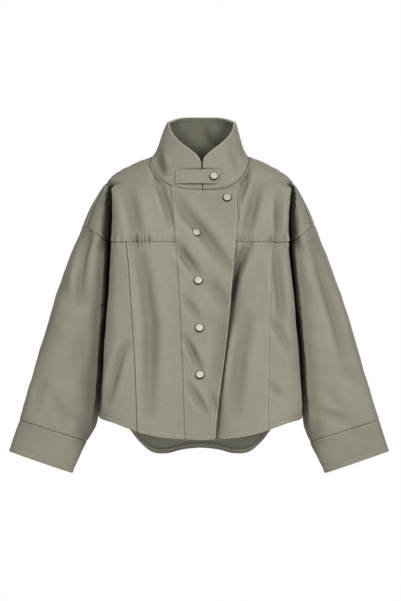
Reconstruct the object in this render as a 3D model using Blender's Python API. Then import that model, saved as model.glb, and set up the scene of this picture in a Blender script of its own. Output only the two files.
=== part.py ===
"""Shirt jacket: cropped cotton twill, stand collar with a tab, wide snapped front overlap, cuffed sleeves.

Frame: metres, +Z up, +X to the wearer's left, the front faces -Y. The origin is at the middle of the
neck, level with the points where the collar meets the shoulders. Every panel is a wall of cloth on one
garment form, hollow and open at neck, hem and cuffs.
"""

import math
from collections import namedtuple

import bmesh
import bpy
from mathutils import Matrix, Vector

CLOTH = 0.0016  # one layer of twill, a little full so that the wall is sound
DOUBLE = 0.0024  # cuffs and collar tab: two layers
COLLAR_CLOTH = 0.0030  # two layers with an interlining
SEAM_GAP = 0.0003  # between pieces that are sewn together
LAP_GAP = 0.0013  # clear space under the overlap and under the tab

# Body sections, top to bottom. Half width is to the shoulder line above the sleeve crease, and to the
# side of the body below it. Front and back are the depths at the middle; tuck is how far the hanging
# sleeve presses the side in; square is how flat the section runs out to the side.
Section = namedtuple("Section", "z half_width front back tuck square")
BODY = (
    Section(0.0000, 0.0930, 0.040, 0.062, 0.0000, 3.5),
    Section(-0.0084, 0.1150, 0.046, 0.067, 0.0000, 3.5),
    Section(-0.0258, 0.1490, 0.058, 0.075, 0.0000, 3.5),
    Section(-0.0378, 0.1675, 0.066, 0.081, 0.0000, 3.5),
    Section(-0.0440, 0.1740, 0.070, 0.084, 0.0000, 3.5),
    Section(-0.0600, 0.1705, 0.081, 0.090, 0.0000, 4.6),
    Section(-0.0817, 0.1680, 0.095, 0.097, 0.0000, 6.5),
    Section(-0.1610, 0.1685, 0.120, 0.110, 0.0000, 9.0),
    Section(-0.2090, 0.1730, 0.126, 0.113, 0.0000, 9.0),
    Section(-0.2720, 0.1785, 0.130, 0.116, 0.0000, 9.0),
    Section(-0.3000, 0.1840, 0.132, 0.117, 0.0060, 9.0),
    Section(-0.3306, 0.1890, 0.133, 0.118, 0.0110, 9.0),
    Section(-0.4030, 0.1952, 0.136, 0.121, 0.0120, 8.0),
    Section(-0.4940, 0.1985, 0.138, 0.125, 0.0120, 7.0),
    Section(-0.5700, 0.1995, 0.139, 0.127, 0.0120, 7.0),
)
ROUND_IN = 2.3  # how sharply the body sections turn in at the side
TUCK_SPREAD = 0.030  # depth over which the sleeve presses

TIP_Z = -0.0440  # height at which the creases between body and sleeve start, front and back
TIP_DEPTH = 0.024  # they start this far in front of and behind the shoulder line
SLEEVE_TOP = Vector((0.2217, 0.0, -0.1254))  # armhole seam on the outline of the shoulder
YOKE_Z = -0.1610  # yoke seam, and the lowest point of the sleeve cap
UNDERARM_Z = -0.2720
CREASE_X = 0.1757  # crease at the yoke seam
CAP_FRONT, CAP_BACK = 0.062, 0.066  # depth of the sleeve cap
CAP_TURN = math.radians(140)  # turn from the shoulder outline to the crease
SEAM_TURN = math.radians(26)  # the shoulder seam lies this far forward on the cap
CAP_BULGE = 0.004
CAP_START, CREASE_START = 0.6, 0.85  # how round the cap and the crease leave the shoulder
SPREAD_RIGHT, SPREAD_LEFT = 0.0020, -0.0040  # the left sleeve hangs a little nearer the body

NECK_HALF, NECK_DROP = 0.0930, 0.0646
NECK_OUT, NECK_IN = 3.0, 1.8  # how square the front neckline is
NECK_MIDDLE = -0.062  # height to which the front edge of the yokes is drawn out

# Hem heights at points across, front and back.
Hem = namedtuple("Hem", "x front back")
HEM = (
    Hem(0.000, -0.5346, -0.5555),
    Hem(0.035, -0.5330, -0.5590),
    Hem(0.070, -0.5300, -0.5665),
    Hem(0.095, -0.5255, -0.5625),
    Hem(0.120, -0.5190, -0.5400),
    Hem(0.145, -0.5100, -0.5105),
    Hem(0.170, -0.5000, -0.497),
    Hem(0.1985, -0.4930, -0.4930),
)

# Front overlap: where it is sewn to the right front and where its free edge runs.
Overlap = namedtuple("Overlap", "z sewn free lift")
OVERLAP = (
    Overlap(-0.060, -0.0560, 0.0680, 0.000),
    Overlap(-0.114, -0.0500, 0.0686, 0.000),
    Overlap(-0.165, -0.0456, 0.0657, 0.001),
    Overlap(-0.213, -0.0420, 0.0618, 0.005),
    Overlap(-0.280, -0.0375, 0.0560, 0.008),
    Overlap(-0.353, -0.0345, 0.0479, 0.007),
    Overlap(-0.422, -0.0317, 0.0395, 0.004),
    Overlap(-0.478, -0.0300, 0.0325, 0.003),
    Overlap(-0.540, -0.0285, 0.0270, 0.004),
)
OVERLAP_TOP = -0.0655  # its free part starts this low
TURN_UNDER = 0.008  # the right front runs on behind the sewn edge
UNDERLAP = -0.012  # the left front ends here, behind the overlap

# Seams between front and side panels.
Princess = namedtuple("Princess", "z right left")
PRINCESS = (
    Princess(-0.161, 0.1370, 0.1350),
    Princess(-0.322, 0.1270, 0.1300),
    Princess(-0.403, 0.1220, 0.1285),
    Princess(-0.530, 0.1180, 0.1265),
)

# Sleeve sections from armhole to cuff seam, then to the cuff's end: outer and inner edge, half depth,
# how far the middle lies forward, and how square the section is (1 is an ellipse).
Ring = namedtuple("Ring", "share outer_x outer_z inner_x inner_z depth forward square")
SLEEVE = (
    Ring(0.00, 0.2217, -0.1254, 0.1785, -0.2720, 0.064, 0.000, 0.60),
    Ring(0.22, 0.2575, -0.2200, 0.1820, -0.3350, 0.062, 0.000, 0.65),
    Ring(0.44, 0.2875, -0.3120, 0.1882, -0.4050, 0.056, 0.002, 0.72),
    Ring(0.66, 0.3115, -0.3960, 0.1912, -0.4680, 0.048, 0.006, 0.80),
    Ring(0.84, 0.3300, -0.4600, 0.1985, -0.5100, 0.040, 0.010, 0.88),
    Ring(1.00, 0.3422, -0.4997, 0.2130, -0.5404, 0.033, 0.013, 0.95),
)
CUFF_END = Ring(1.25, 0.3612, -0.5585, 0.2402, -0.6003, 0.029, 0.018, 0.95)
CAP_FADE = 0.55  # the armhole's own shape is gone this far down the sleeve

# Upper edge of the collar's front halves, from the slit to the side.
Edge = namedtuple("Edge", "x z")
COLLAR_EDGE = (
    Edge(0.0000, -0.0300),
    Edge(0.0006, -0.0230),
    Edge(0.0020, -0.0125),
    Edge(0.0055, -0.0045),
    Edge(0.0115, 0.0030),
    Edge(0.0216, 0.0132),
    Edge(0.0370, 0.0255),
    Edge(0.0510, 0.0390),
    Edge(0.0605, 0.0550),
    Edge(0.0645, 0.0670),
)
COLLAR_HALF, COLLAR_BACK_Z, COLLAR_SHIFT = 0.0645, 0.0768, 0.0022
COLLAR_FRONT, COLLAR_BACK = 0.078, 0.056  # depth of the upper edge
COLLAR_FLARE = 0.0062  # the base turns out onto the shoulder
SLIT_X, SLIT = 0.0025, 0.0010

TAB_LEFT, TAB_RIGHT, TAB_SLANT = -0.0470, 0.0385, 0.0065
TAB_LOW, TAB_HIGH = -0.0520, -0.0255

SNAP_RADIUS, SNAP_HEIGHT, SNAP_GAP = 0.0082, 0.0034, 0.0005
Snap = namedtuple("Snap", "name x z")
TAB_SNAP = Snap("snap_1", 0.0255, -0.0378)
SNAPS = (
    Snap("snap_2", 0.0505, -0.0790),
    Snap("snap_3", -0.0085, -0.1455),
    Snap("snap_4", -0.0038, -0.2350),
    Snap("snap_5", -0.0015, -0.3240),
    Snap("snap_6", -0.0006, -0.4120),
)

# Grid counts.
CAP_ROWS, SHOULDER_ROWS, ARMHOLE_ROWS, SKIRT_ROWS = 6, 5, 5, 7
FRONT_CAP, BACK_CAP = 6, 8
FRONT_COLUMNS, SIDE_COLUMNS, YOKE_COLUMNS, BACK_COLUMNS = 5, 6, 10, 11
SLEEVE_RINGS, CUFF_RINGS, COLLAR_ROWS = 14, 2, 5
OVERLAP_COLUMNS, OVERLAP_ROWS = 9, 23
TAB_COLUMNS, TAB_ROWS, SNAP_SIDES = 12, 3, 16
FRONT, BACK, RIGHT, LEFT = -1, 1, -1, 1

TWILL = (0.300, 0.283, 0.235, 1.0)
METAL = (0.620, 0.600, 0.550, 1.0)


def read(table, column, at):
    """Value of a column where the first column is `at`, on a smooth curve through the rows."""
    rows = sorted(table, key=lambda row: row[0])
    keys = [row[0] for row in rows]
    values = [getattr(row, column) for row in rows]
    if at <= keys[0]:
        return values[0]
    if at >= keys[-1]:
        return values[-1]
    slopes = [(values[k + 1] - values[k]) / (keys[k + 1] - keys[k]) for k in range(len(keys) - 1)]
    k = next(k for k in range(len(slopes)) if at <= keys[k + 1])

    def tangent(n):
        """Slope at a row that never overshoots its neighbours."""
        if n == 0 or n == len(slopes):
            return slopes[max(0, n - 1)]
        before, after = slopes[n - 1], slopes[n]
        return 0.0 if before * after <= 0 else 2 * before * after / (before + after)

    width = keys[k + 1] - keys[k]
    s = (at - keys[k]) / width
    start, end = values[k], values[k + 1]
    ease = s * s * (3 - 2 * s)
    bend = (s - s * s) * ((1 - s) * tangent(k) - s * tangent(k + 1)) * width
    return start + (end - start) * ease + bend


def solve(value, low, high):
    """The place between low and high where an increasing function is zero."""
    for _ in range(60):
        middle = (low + high) / 2
        if value(middle) < 0:
            low = middle
        else:
            high = middle
    return (low + high) / 2


def spread(side):
    """How much wider than the tables a sleeve hangs."""
    return SPREAD_LEFT if side == LEFT else SPREAD_RIGHT


def crease_depth(face, z):
    """How far the crease between body and sleeve lies in front of (or behind) the shoulder line."""
    deepest = (CAP_FRONT if face == FRONT else CAP_BACK) * math.sin(CAP_TURN)
    if z >= TIP_Z or z <= UNDERARM_Z:
        return 0.0
    if z >= YOKE_Z:
        return TIP_DEPTH + (deepest - TIP_DEPTH) * ((TIP_Z - z) / (TIP_Z - YOKE_Z)) ** CREASE_START
    return deepest * math.sqrt(1 - ((YOKE_Z - z) / (YOKE_Z - UNDERARM_Z)) ** 2)


def crease(side, face, z):
    """A point in the crease between body and sleeve; below the yoke seam it is the armhole seam."""
    if z >= YOKE_Z:
        return cap(side, face, CAP_TURN, (z - YOKE_Z) / (TIP_Z - YOKE_Z))
    wall = read(BODY, "half_width", z)
    open_share = (z - UNDERARM_Z) / (YOKE_Z - UNDERARM_Z)
    x = wall + (CREASE_X - read(BODY, "half_width", YOKE_Z)) * open_share
    return Vector((side * x, face * crease_depth(face, z), z))


def across(a):
    """Share of the half width for a column, columns crowding towards the side."""
    return 2 * a if a < 0 else 1 - (1 - a) ** 2


def column_at(x, z):
    """Column of the body form at a distance from the middle."""
    u = x / read(BODY, "half_width", z)
    return u / 2 if u < 0 else 1 - math.sqrt(max(0.0, 1 - u))


def torso(side, face, a, z, creased=True):
    """A point of the body form: column a from the middle (0) to the side (1), at a height."""
    u = across(a)
    rim = crease_depth(face, z) if creased else 0.0
    middle = read(BODY, "front" if face == FRONT else "back", z)
    fullness = max(0.0, 1 - abs(u) ** read(BODY, "square", z)) ** (1 / ROUND_IN)
    depth = middle * fullness + rim * (1 - fullness) ** 3
    tuck = read(BODY, "tuck", z) * math.exp(-((depth / TUCK_SPREAD) ** 2))
    return Vector((side * (read(BODY, "half_width", z) * u - tuck), face * depth, z))


def front_at(x, z):
    """A point of the front of the body form straight behind x, z."""
    return torso(LEFT if x >= 0 else RIGHT, FRONT, column_at(abs(x), z), z)


def front_normal(x, z):
    """Outward direction of the front of the body form."""
    step = 0.002
    along = front_at(x + step, z) - front_at(x - step, z)
    up = front_at(x, z + step) - front_at(x, z - step)
    return along.cross(up).normalized()


def neckline(x):
    """Height of the front neckline."""
    return -NECK_DROP * max(0.0, 1 - (abs(x) / NECK_HALF) ** NECK_OUT) ** (1 / NECK_IN)


def neck_height(face, a):
    """Height at which a column of the body form meets the neckline."""
    if face == BACK or a >= 1:
        return 0.0
    u = across(a)
    return solve(lambda z: z - neckline(read(BODY, "half_width", z) * u), -NECK_DROP, 0.0)


def tip_column(face, turn):
    """Column of the shoulder above a column of the sleeve cap, where the cap runs into the body."""
    middle = read(BODY, "front" if face == FRONT else "back", TIP_Z)
    fullness = TIP_DEPTH * turn / CAP_TURN / middle
    return 1 - math.sqrt(1 - (1 - fullness**ROUND_IN) ** (1 / read(BODY, "square", TIP_Z)))


# Rows of the upper body, given by their height at the side: up the crease, then along the shoulder.
UPPER = [YOKE_Z + (TIP_Z - YOKE_Z) * k / CAP_ROWS for k in range(CAP_ROWS)]
UPPER += [TIP_Z * (1 - k / SHOULDER_ROWS) for k in range(SHOULDER_ROWS + 1)]
# Rows of the armhole below the yoke seam, from the underarm up.
ARMHOLE = [
    YOKE_Z - (YOKE_Z - UNDERARM_Z) * math.cos(math.pi / 2 * k / ARMHOLE_ROWS) for k in range(ARMHOLE_ROWS + 1)
]


def upper_point(side, face, a, row):
    """A point of the upper body on a column and a row of UPPER."""
    share = (UPPER[row] - YOKE_Z) / -YOKE_Z
    z = YOKE_Z + (neck_height(face, a) - YOKE_Z) * share
    return torso(side, face, a, z, creased=row < CAP_ROWS)


def tip_point(side, face, turn):
    """A point of the shoulder where a column of the sleeve cap runs into the body."""
    return upper_point(side, face, tip_column(face, turn), CAP_ROWS)


def skirt_point(side, face, a, share):
    """A point between the hem (share 0) and the underarm (share 1)."""
    x = read(BODY, "half_width", HEM[-1].front) * abs(across(a))
    low = read(HEM, "front" if face == FRONT else "back", x)
    return torso(side, face, a, low + (UNDERARM_Z - low) * share)


def lower_rows(side, face, start, end, columns):
    """Grid of a lower panel from the hem to the yoke seam; start and end give a column for a height."""
    rows = []
    for k in range(SKIRT_ROWS):
        share = k / SKIRT_ROWS
        height = UNDERARM_Z + (HEM[3].front - UNDERARM_Z) * (1 - share)
        row = [start(height) + (end(height) - start(height)) * n / columns for n in range(columns + 1)]
        rows.append([skirt_point(side, face, a, share) for a in row])
    for height in ARMHOLE:
        row = [start(height) + (end(height) - start(height)) * n / columns for n in range(columns + 1)]
        rows.append([torso(side, face, a, height) for a in row])
    return rows


def crease_strip(side, face, heights):
    """Narrow strip from the side of the body to the bottom of the crease."""
    strip = [[torso(side, face, 1.0, z), crease(side, face, z)] for z in heights if z < TIP_Z]
    if heights[-1] >= TIP_Z:
        strip.append([tip_point(side, face, CAP_TURN)] * 2)
    return strip


def armhole_cap(side, face, turn):
    """A point of the armhole seam over the sleeve cap; turn runs from the shoulder outline to the crease."""
    share = turn / CAP_TURN
    top_x = SLEEVE_TOP.x + spread(side)
    x = top_x + (CREASE_X - top_x) * share
    z = SLEEVE_TOP.z + (YOKE_Z - SLEEVE_TOP.z) * share
    depth = CAP_FRONT if face == FRONT else CAP_BACK
    return Vector((side * x, face * depth * math.sin(turn), z))


def cap(side, face, turn, up):
    """A point of the sleeve cap part of the yoke or back: up runs from the seam (0) to the shoulder (1)."""
    seam, tip = armhole_cap(side, face, turn), tip_point(side, face, turn)
    point = seam.lerp(tip, up)
    start = CAP_START + (CREASE_START - CAP_START) * (turn / CAP_TURN) ** 2
    point.y = tip.y + (seam.y - tip.y) * (1 - up) ** start
    point.x += side * CAP_BULGE * math.sin(math.pi * up) * max(0.0, math.cos(turn))
    return point


# Turns of the columns over the cap: front from the crease to the shoulder seam, back the rest of the way.
FRONT_TURNS = [(FRONT, CAP_TURN + (SEAM_TURN - CAP_TURN) * k / FRONT_CAP) for k in range(FRONT_CAP + 1)]
BACK_TURNS = [(BACK, CAP_TURN + (-SEAM_TURN - CAP_TURN) * k / BACK_CAP) for k in range(BACK_CAP + 1)]
BACK_TURNS = [(face, turn) if turn >= 0 else (FRONT, -turn) for face, turn in BACK_TURNS]


def cap_grid(side, turns):
    """Grid of a cap between the armhole seam and the shoulder tip."""
    ups = [k / CAP_ROWS for k in range(CAP_ROWS + 1)]
    return [[cap(side, face, turn, up) for face, turn in turns] for up in ups]


def armhole(side):
    """The armhole seam as a closed loop: points with the turn of the sleeve ring that each one feeds."""
    crease_turn = math.radians(80)
    loop = []
    for face, turn in reversed(FRONT_TURNS):
        loop.append((armhole_cap(side, face, turn), crease_turn * turn / CAP_TURN))
    for k in range(1, ARMHOLE_ROWS + 1):
        down = crease_turn + (math.pi - crease_turn) * k / ARMHOLE_ROWS
        loop.append((crease(side, FRONT, ARMHOLE[ARMHOLE_ROWS - k]), down))
    for k in range(1, ARMHOLE_ROWS + 1):
        up = math.pi + (math.pi - crease_turn) * k / ARMHOLE_ROWS
        loop.append((crease(side, BACK, ARMHOLE[k]), up))
    for face, turn in BACK_TURNS[1:-1]:
        signed = turn if face == FRONT else -turn
        loop.append((armhole_cap(side, face, turn), 2 * math.pi + crease_turn * signed / CAP_TURN))
    return loop


def ring_point(side, ring, turn):
    """A point of a sleeve section; turn runs from the outer edge over the front to the inner edge."""
    middle_x, middle_z = (ring.outer_x + ring.inner_x) / 2, (ring.outer_z + ring.inner_z) / 2
    x = middle_x + (ring.outer_x - ring.inner_x) / 2 * math.cos(turn)
    z = middle_z + (ring.outer_z - ring.inner_z) / 2 * math.cos(turn)
    free = max(0.0, ring.share - 0.7) / 0.3
    x += spread(side) * (max(0.0, math.cos(turn)) + min(1.0, free) * (1 - max(0.0, math.cos(turn))))
    bow = math.copysign(abs(math.sin(turn)) ** ring.square, math.sin(turn))
    return Vector((side * x, -ring.depth * bow - ring.forward, z))


def sleeve_section(share):
    """The sleeve section at a share of the way from the armhole to the cuff seam."""
    return Ring(share, *[read(SLEEVE, column, share) for column in Ring._fields[1:]])


def sleeve_grid(side):
    """Rings of the sleeve from the armhole seam to the cuff seam."""
    loop = armhole(side)
    loop.append(loop[0])
    rows = []
    for k in range(SLEEVE_RINGS + 1):
        share = (k / SLEEVE_RINGS) ** 1.15
        fade = max(0.0, 1 - share / CAP_FADE) ** 2
        section, top = sleeve_section(share), SLEEVE[0]
        rows.append([
            ring_point(side, section, turn) + (seam - ring_point(side, top, turn)) * fade for seam, turn in loop
        ])
    return rows


def cuff_grid(side):
    """Rings of the cuff from its seam to its end."""
    loop = armhole(side)
    loop.append(loop[0])
    rows = []
    for k in range(CUFF_RINGS + 1):
        share = k / CUFF_RINGS
        section = Ring(*[a + (b - a) * share for a, b in zip(SLEEVE[-1], CUFF_END)])
        rows.append([ring_point(side, section, turn) for _, turn in loop])
    return rows


def collar_point(base, face, up):
    """A point of the collar above a point of the neckline: up runs from the neckline to the upper edge."""
    side = LEFT if base.x >= SLIT_X else RIGHT
    from_slit = abs(base.x - SLIT_X)
    share = min(1.0, from_slit / (NECK_HALF - side * SLIT_X))
    turn = math.asin(share)
    if face == FRONT:
        x = COLLAR_HALF * share
        height = read(COLLAR_EDGE, "z", max(0.0, x - SLIT / 2))
        depth = -COLLAR_FRONT * math.cos(turn) ** 0.8
    else:
        x = COLLAR_HALF * share
        height = COLLAR_BACK_Z + (COLLAR_EDGE[-1].z - COLLAR_BACK_Z) * share**4
        depth = COLLAR_BACK * math.cos(turn)
    top = Vector((SLIT_X * (1 - share) + side * x + COLLAR_SHIFT * share, depth, height))
    if from_slit < SLIT:
        top.x = base.x
    point = base.lerp(top, up)
    inward = Vector((-point.x, -point.y, 0)).normalized()
    side_share = share if face == FRONT else 1.0
    bow = math.sin(math.pi * up**0.7) * (1 - up) ** 1.2
    return point + inward * COLLAR_FLARE * side_share**2 * bow


def neck_start(side, z):
    """Column of a yoke's front edge behind the overlap, at a height."""
    if side == LEFT:
        return column_at(UNDERLAP, YOKE_Z)
    return column_at(-read(OVERLAP, "sewn", z) - TURN_UNDER, z)


def yoke_columns(side, row):
    """Faces and columns of the yoke on a row of UPPER, from its front edge outwards."""
    share = (UPPER[row] - YOKE_Z) / -YOKE_Z
    start = neck_start(side, YOKE_Z + (NECK_MIDDLE - YOKE_Z) * share)
    end = 1.0 if row < CAP_ROWS else tip_column(FRONT, CAP_TURN)
    return [(FRONT, start + (end - start) * n / YOKE_COLUMNS) for n in range(YOKE_COLUMNS + 1)]


def back_columns(row):
    """Faces and columns of the back on a row of UPPER, from the middle outwards."""
    end = 1.0 if row < CAP_ROWS else tip_column(BACK, CAP_TURN)
    return [(BACK, end * n / BACK_COLUMNS) for n in range(BACK_COLUMNS + 1)]


def shoulder_columns(turns):
    """Faces and columns of the shoulder above the columns of a cap."""
    return [(face, tip_column(face, turn)) for face, turn in turns[1:]]


def upper_grids(side, columns, turns):
    """Upper body and shoulder of one half of a panel, given its columns for a row and its cap's turns."""
    low = [[upper_point(side, *c, k) for c in columns(k)] for k in range(CAP_ROWS + 1)]
    over = shoulder_columns(turns)
    high = [[upper_point(side, *c, k) for c in columns(k) + over] for k in range(CAP_ROWS, len(UPPER))]
    return [low, high, crease_strip(side, turns[0][0], UPPER[: CAP_ROWS + 1]), cap_grid(side, turns)]


def neck_ring():
    """Points of the neckline from the collar's slit round the back to the slit again, with their faces."""
    ring = []
    for x in (SLIT_X - SLIT / 2, -0.004, -0.014, -0.026, -0.038):
        ring.append((front_at(x, neckline(x)), FRONT))
    top = len(UPPER) - 1
    over = shoulder_columns(FRONT_TURNS)
    ring += [(upper_point(RIGHT, *c, top), c[0]) for c in yoke_columns(RIGHT, top) + over]
    halves = back_columns(top) + shoulder_columns(BACK_TURNS)[:-1]
    ring += [(upper_point(RIGHT, *c, top), c[0]) for c in reversed(halves)]
    ring += [(upper_point(LEFT, *c, top), c[0]) for c in halves[1:]]
    for face, a in reversed(yoke_columns(LEFT, top) + over):
        point = upper_point(LEFT, face, a, top)
        if point.x > SLIT_X + 0.004:
            ring.append((point, face))
    x = SLIT_X + SLIT / 2
    ring.append((front_at(x, neckline(x)), FRONT))
    return ring


def on_collar(x, z):
    """A point of the front of the collar straight behind x, z."""
    limit = NECK_HALF * 0.97

    def at_height(up):
        def miss(base_x):
            return collar_point(front_at(base_x, neckline(base_x)), FRONT, up).x - x

        base_x = solve(miss, -limit, limit)
        return collar_point(front_at(base_x, neckline(base_x)), FRONT, up)

    up = solve(lambda share: at_height(share).z - z, 0.0, 1.0)
    return at_height(up)


def overlap_point(across_share, down):
    """A point of the front overlap's outer face: from sewn edge to free edge, and from top to hem."""
    height = OVERLAP_TOP + (HEM[0].front - OVERLAP_TOP) * down
    sewn, free = read(OVERLAP, "sewn", height), read(OVERLAP, "free", height)
    x = sewn + (free - sewn) * across_share
    high = min(OVERLAP_TOP, neckline(x)) if x > 0 else neckline(x) - 0.0006
    low = read(HEM, "front", abs(x))
    z = high + (low - high) * down
    lift = read(OVERLAP, "lift", z) * max(0.0, (across_share - 0.45) / 0.55) ** 2
    return front_at(x, z) + front_normal(x, z) * (LAP_GAP + CLOTH + lift)


def overlap_at(x, z):
    """Point and outward direction of the overlap at x, z."""
    down = (z - OVERLAP_TOP) / (HEM[0].front - OVERLAP_TOP)
    sewn, free = read(OVERLAP, "sewn", z), read(OVERLAP, "free", z)
    share = (x - sewn) / (free - sewn)
    point, step = overlap_point(share, down), 0.01
    along = overlap_point(share + step, down) - overlap_point(share - step, down)
    up = overlap_point(share, down - step) - overlap_point(share, down + step)
    return point, along.cross(up).normalized()


def yoke_grids(side):
    """Yoke: upper front to the shoulder seam, the crease, and the front of the sleeve cap."""
    return upper_grids(side, lambda row: yoke_columns(side, row), FRONT_TURNS)


def front_edge(side):
    """Column of a front panel's edge behind the overlap, for a height."""
    return lambda z: neck_start(side, z)


def princess_edge(side):
    """Column of the seam between front and side panel, for a height."""
    return lambda z: column_at(read(PRINCESS, "left" if side == LEFT else "right", z), z)


def side_grids(side):
    """Side panel of the front, from the princess seam to the side seam and the armhole."""
    rows = lower_rows(side, FRONT, princess_edge(side), lambda z: 1.0, SIDE_COLUMNS)
    return [rows, crease_strip(side, FRONT, ARMHOLE)]


def back_grids():
    """Back: one panel from tail to neckline, over the shoulders to the shoulder seams."""
    grids = []
    for side in (RIGHT, LEFT):
        grids.append(lower_rows(side, BACK, lambda z: 0.0, lambda z: 1.0, BACK_COLUMNS))
        grids.append(crease_strip(side, BACK, ARMHOLE))
        grids += upper_grids(side, back_columns, BACK_TURNS)
    return grids


def key(point):
    """A point rounded to a hundredth of a millimetre."""
    return tuple(round(value, 5) for value in point)


def sheet(grids, inside):
    """One open surface from grids that share points: its points and its faces, all facing away from inside."""
    made = bmesh.new()
    found = {}

    def vertex(point):
        if key(point) not in found:
            found[key(point)] = made.verts.new(point)
        return found[key(point)]

    for grid in grids:
        for low, high in zip(grid, grid[1:]):
            for n in range(len(low) - 1):
                corners = [vertex(p) for p in (low[n], low[n + 1], high[n + 1], high[n])]
                corners = list(dict.fromkeys(corners))
                if len(corners) > 2 and made.faces.get(corners) is None:
                    made.faces.new(corners)
    bmesh.ops.recalc_face_normals(made, faces=made.faces[:])
    made.normal_update()
    outward = sum(f.calc_area() * f.normal.dot(f.calc_center_median() - inside) for f in made.faces)
    if outward < 0:
        bmesh.ops.reverse_faces(made, faces=made.faces[:])
    made.verts.index_update()
    points = [v.co.copy() for v in made.verts]
    faces = [[v.index for v in f.verts] for f in made.faces]
    made.free()
    return points, faces


def face_normal(points, face):
    """Normal of a face with its area as length."""
    total = Vector((0, 0, 0))
    for n in range(1, len(face) - 1):
        total += (points[face[n]] - points[face[0]]).cross(points[face[n + 1]] - points[face[0]])
    return total


def add_normals(normals, points, faces):
    """Add a surface's face normals at its points to a shared table, so that seams meet square."""
    for face in faces:
        normal = face_normal(points, face)
        for n in face:
            normals[key(points[n])] = normals.get(key(points[n]), Vector((0, 0, 0))) + normal


def split(points, face):
    """A face as triangles, cut along its shorter diagonal."""
    if len(face) == 3:
        return [tuple(face)]
    a, b, c, d = face
    if (points[a] - points[c]).length <= (points[b] - points[d]).length:
        return [(a, b, c), (a, c, d)]
    return [(a, b, d), (b, c, d)]


def wall(points, faces, thickness, normals):
    """Closed wall of cloth: the surface is its outer face, and its edges draw back by half a seam gap."""
    edges = {}
    for face in faces:
        for n in range(len(face)):
            edge = (face[n], face[(n + 1) % len(face)])
            edges[edge] = face_normal(points, face)
    rim = {edge: normal for edge, normal in edges.items() if edge[::-1] not in edges}
    pull = {}
    for (start, end), normal in rim.items():
        inward = normal.cross(points[end] - points[start]).normalized()
        for n in (start, end):
            pull.setdefault(n, []).append(inward)
    own = {}
    add_normals(own, points, faces)
    outer, inner = [], []
    for n, point in enumerate(points):
        outward, mine = normals[key(point)].normalized(), own[key(point)].normalized()
        shift = Vector((0, 0, 0))
        if n in pull:
            total = sum(pull[n], Vector((0, 0, 0)))
            shift = total.normalized() * min(SEAM_GAP, SEAM_GAP / max(0.5, total.length))
        if outward.dot(mine) < 0.75:
            outward = mine
            shift -= mine * SEAM_GAP
        outer.append(point + shift)
        inner.append(point + shift - outward * thickness)
    count = len(points)
    triangles = []
    for face in faces:
        for a, b, c in split(points, face):
            triangles.append((a, b, c))
            triangles.append((a + count, c + count, b + count))
    for start, end in rim:
        triangles.append((end, start, start + count))
        triangles.append((end, start + count, end + count))
    return outer + inner, triangles


def material(name, colour, roughness, metallic):
    """A plain Principled material."""
    made = bpy.data.materials.new(name)
    made.use_nodes = True
    shader = made.node_tree.nodes["Principled BSDF"]
    shader.inputs["Base Color"].default_value = colour
    shader.inputs["Roughness"].default_value = roughness
    shader.inputs["Metallic"].default_value = metallic
    made.diffuse_color = colour
    return made


def place(name, mesh, colour, roughness, metallic):
    """Put a mesh in the scene as a named piece with its own material."""
    piece = bpy.data.objects.new(name, mesh)
    bpy.context.scene.collection.objects.link(piece)
    mesh.materials.append(material(name + "_material", colour, roughness, metallic))
    return piece


def cloth_piece(name, surface, thickness, normals):
    """A wall of twill as a named piece."""
    vertices, triangles = wall(*surface, thickness, normals)
    mesh = bpy.data.meshes.new(name)
    mesh.from_pydata([tuple(v) for v in vertices], [], triangles)
    mesh.validate()
    return place(name, mesh, TWILL, 0.9, 0.0)


def snap_piece(name, point, outward):
    """A snap's round cap, standing just off the cloth."""
    made = bmesh.new()
    lift = Matrix.Translation((0, 0, SNAP_GAP + SNAP_HEIGHT / 2))
    bmesh.ops.create_cone(
        made, cap_ends=True, segments=SNAP_SIDES, radius1=SNAP_RADIUS, radius2=SNAP_RADIUS * 0.86,
        depth=SNAP_HEIGHT, matrix=lift,
    )
    top = [e for e in made.edges if min(v.co.z for v in e.verts) > SNAP_GAP + SNAP_HEIGHT * 0.9]
    bmesh.ops.bevel(made, geom=top, offset=0.0012, segments=2, profile=0.5, affect="EDGES")
    turn = outward.to_track_quat("Z", "Y").to_matrix().to_4x4()
    bmesh.ops.transform(made, matrix=Matrix.Translation(point) @ turn, verts=made.verts[:])
    mesh = bpy.data.meshes.new(name)
    made.to_mesh(mesh)
    made.free()
    return place(name, mesh, METAL, 0.35, 0.9)


for old in list(bpy.data.objects):
    bpy.data.objects.remove(old)

body_axis = Vector((0, 0, -0.27))
sewn = {}
for side, word in ((RIGHT, "right"), (LEFT, "left")):
    sewn["yoke_" + word] = sheet(yoke_grids(side), body_axis)
    edges = front_edge(side), princess_edge(side)
    sewn["front_" + word] = sheet([lower_rows(side, FRONT, *edges, FRONT_COLUMNS)], body_axis)
    sewn["side_" + word] = sheet(side_grids(side), body_axis)
    sewn["sleeve_" + word] = sheet([sleeve_grid(side)], Vector((side * 0.26, 0, -0.35)))
    sewn["cuff_" + word] = sheet([cuff_grid(side)], Vector((side * 0.29, -0.015, -0.55)))
sewn["back"] = sheet(back_grids(), body_axis)
shared = {}
for surface in sewn.values():
    add_normals(shared, *surface)
for name, surface in sewn.items():
    cloth_piece(name, surface, DOUBLE if name.startswith("cuff") else CLOTH, shared)

ring = neck_ring()
ups = [k / COLLAR_ROWS for k in range(COLLAR_ROWS + 1)]
collar_rows = [[collar_point(base, face, up) for base, face in ring] for up in ups]
collar = sheet([collar_rows], Vector((0, 0, 0.02)))
collar_normals = {}
add_normals(collar_normals, *collar)
cloth_piece("collar", collar, COLLAR_CLOTH, collar_normals)

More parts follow.
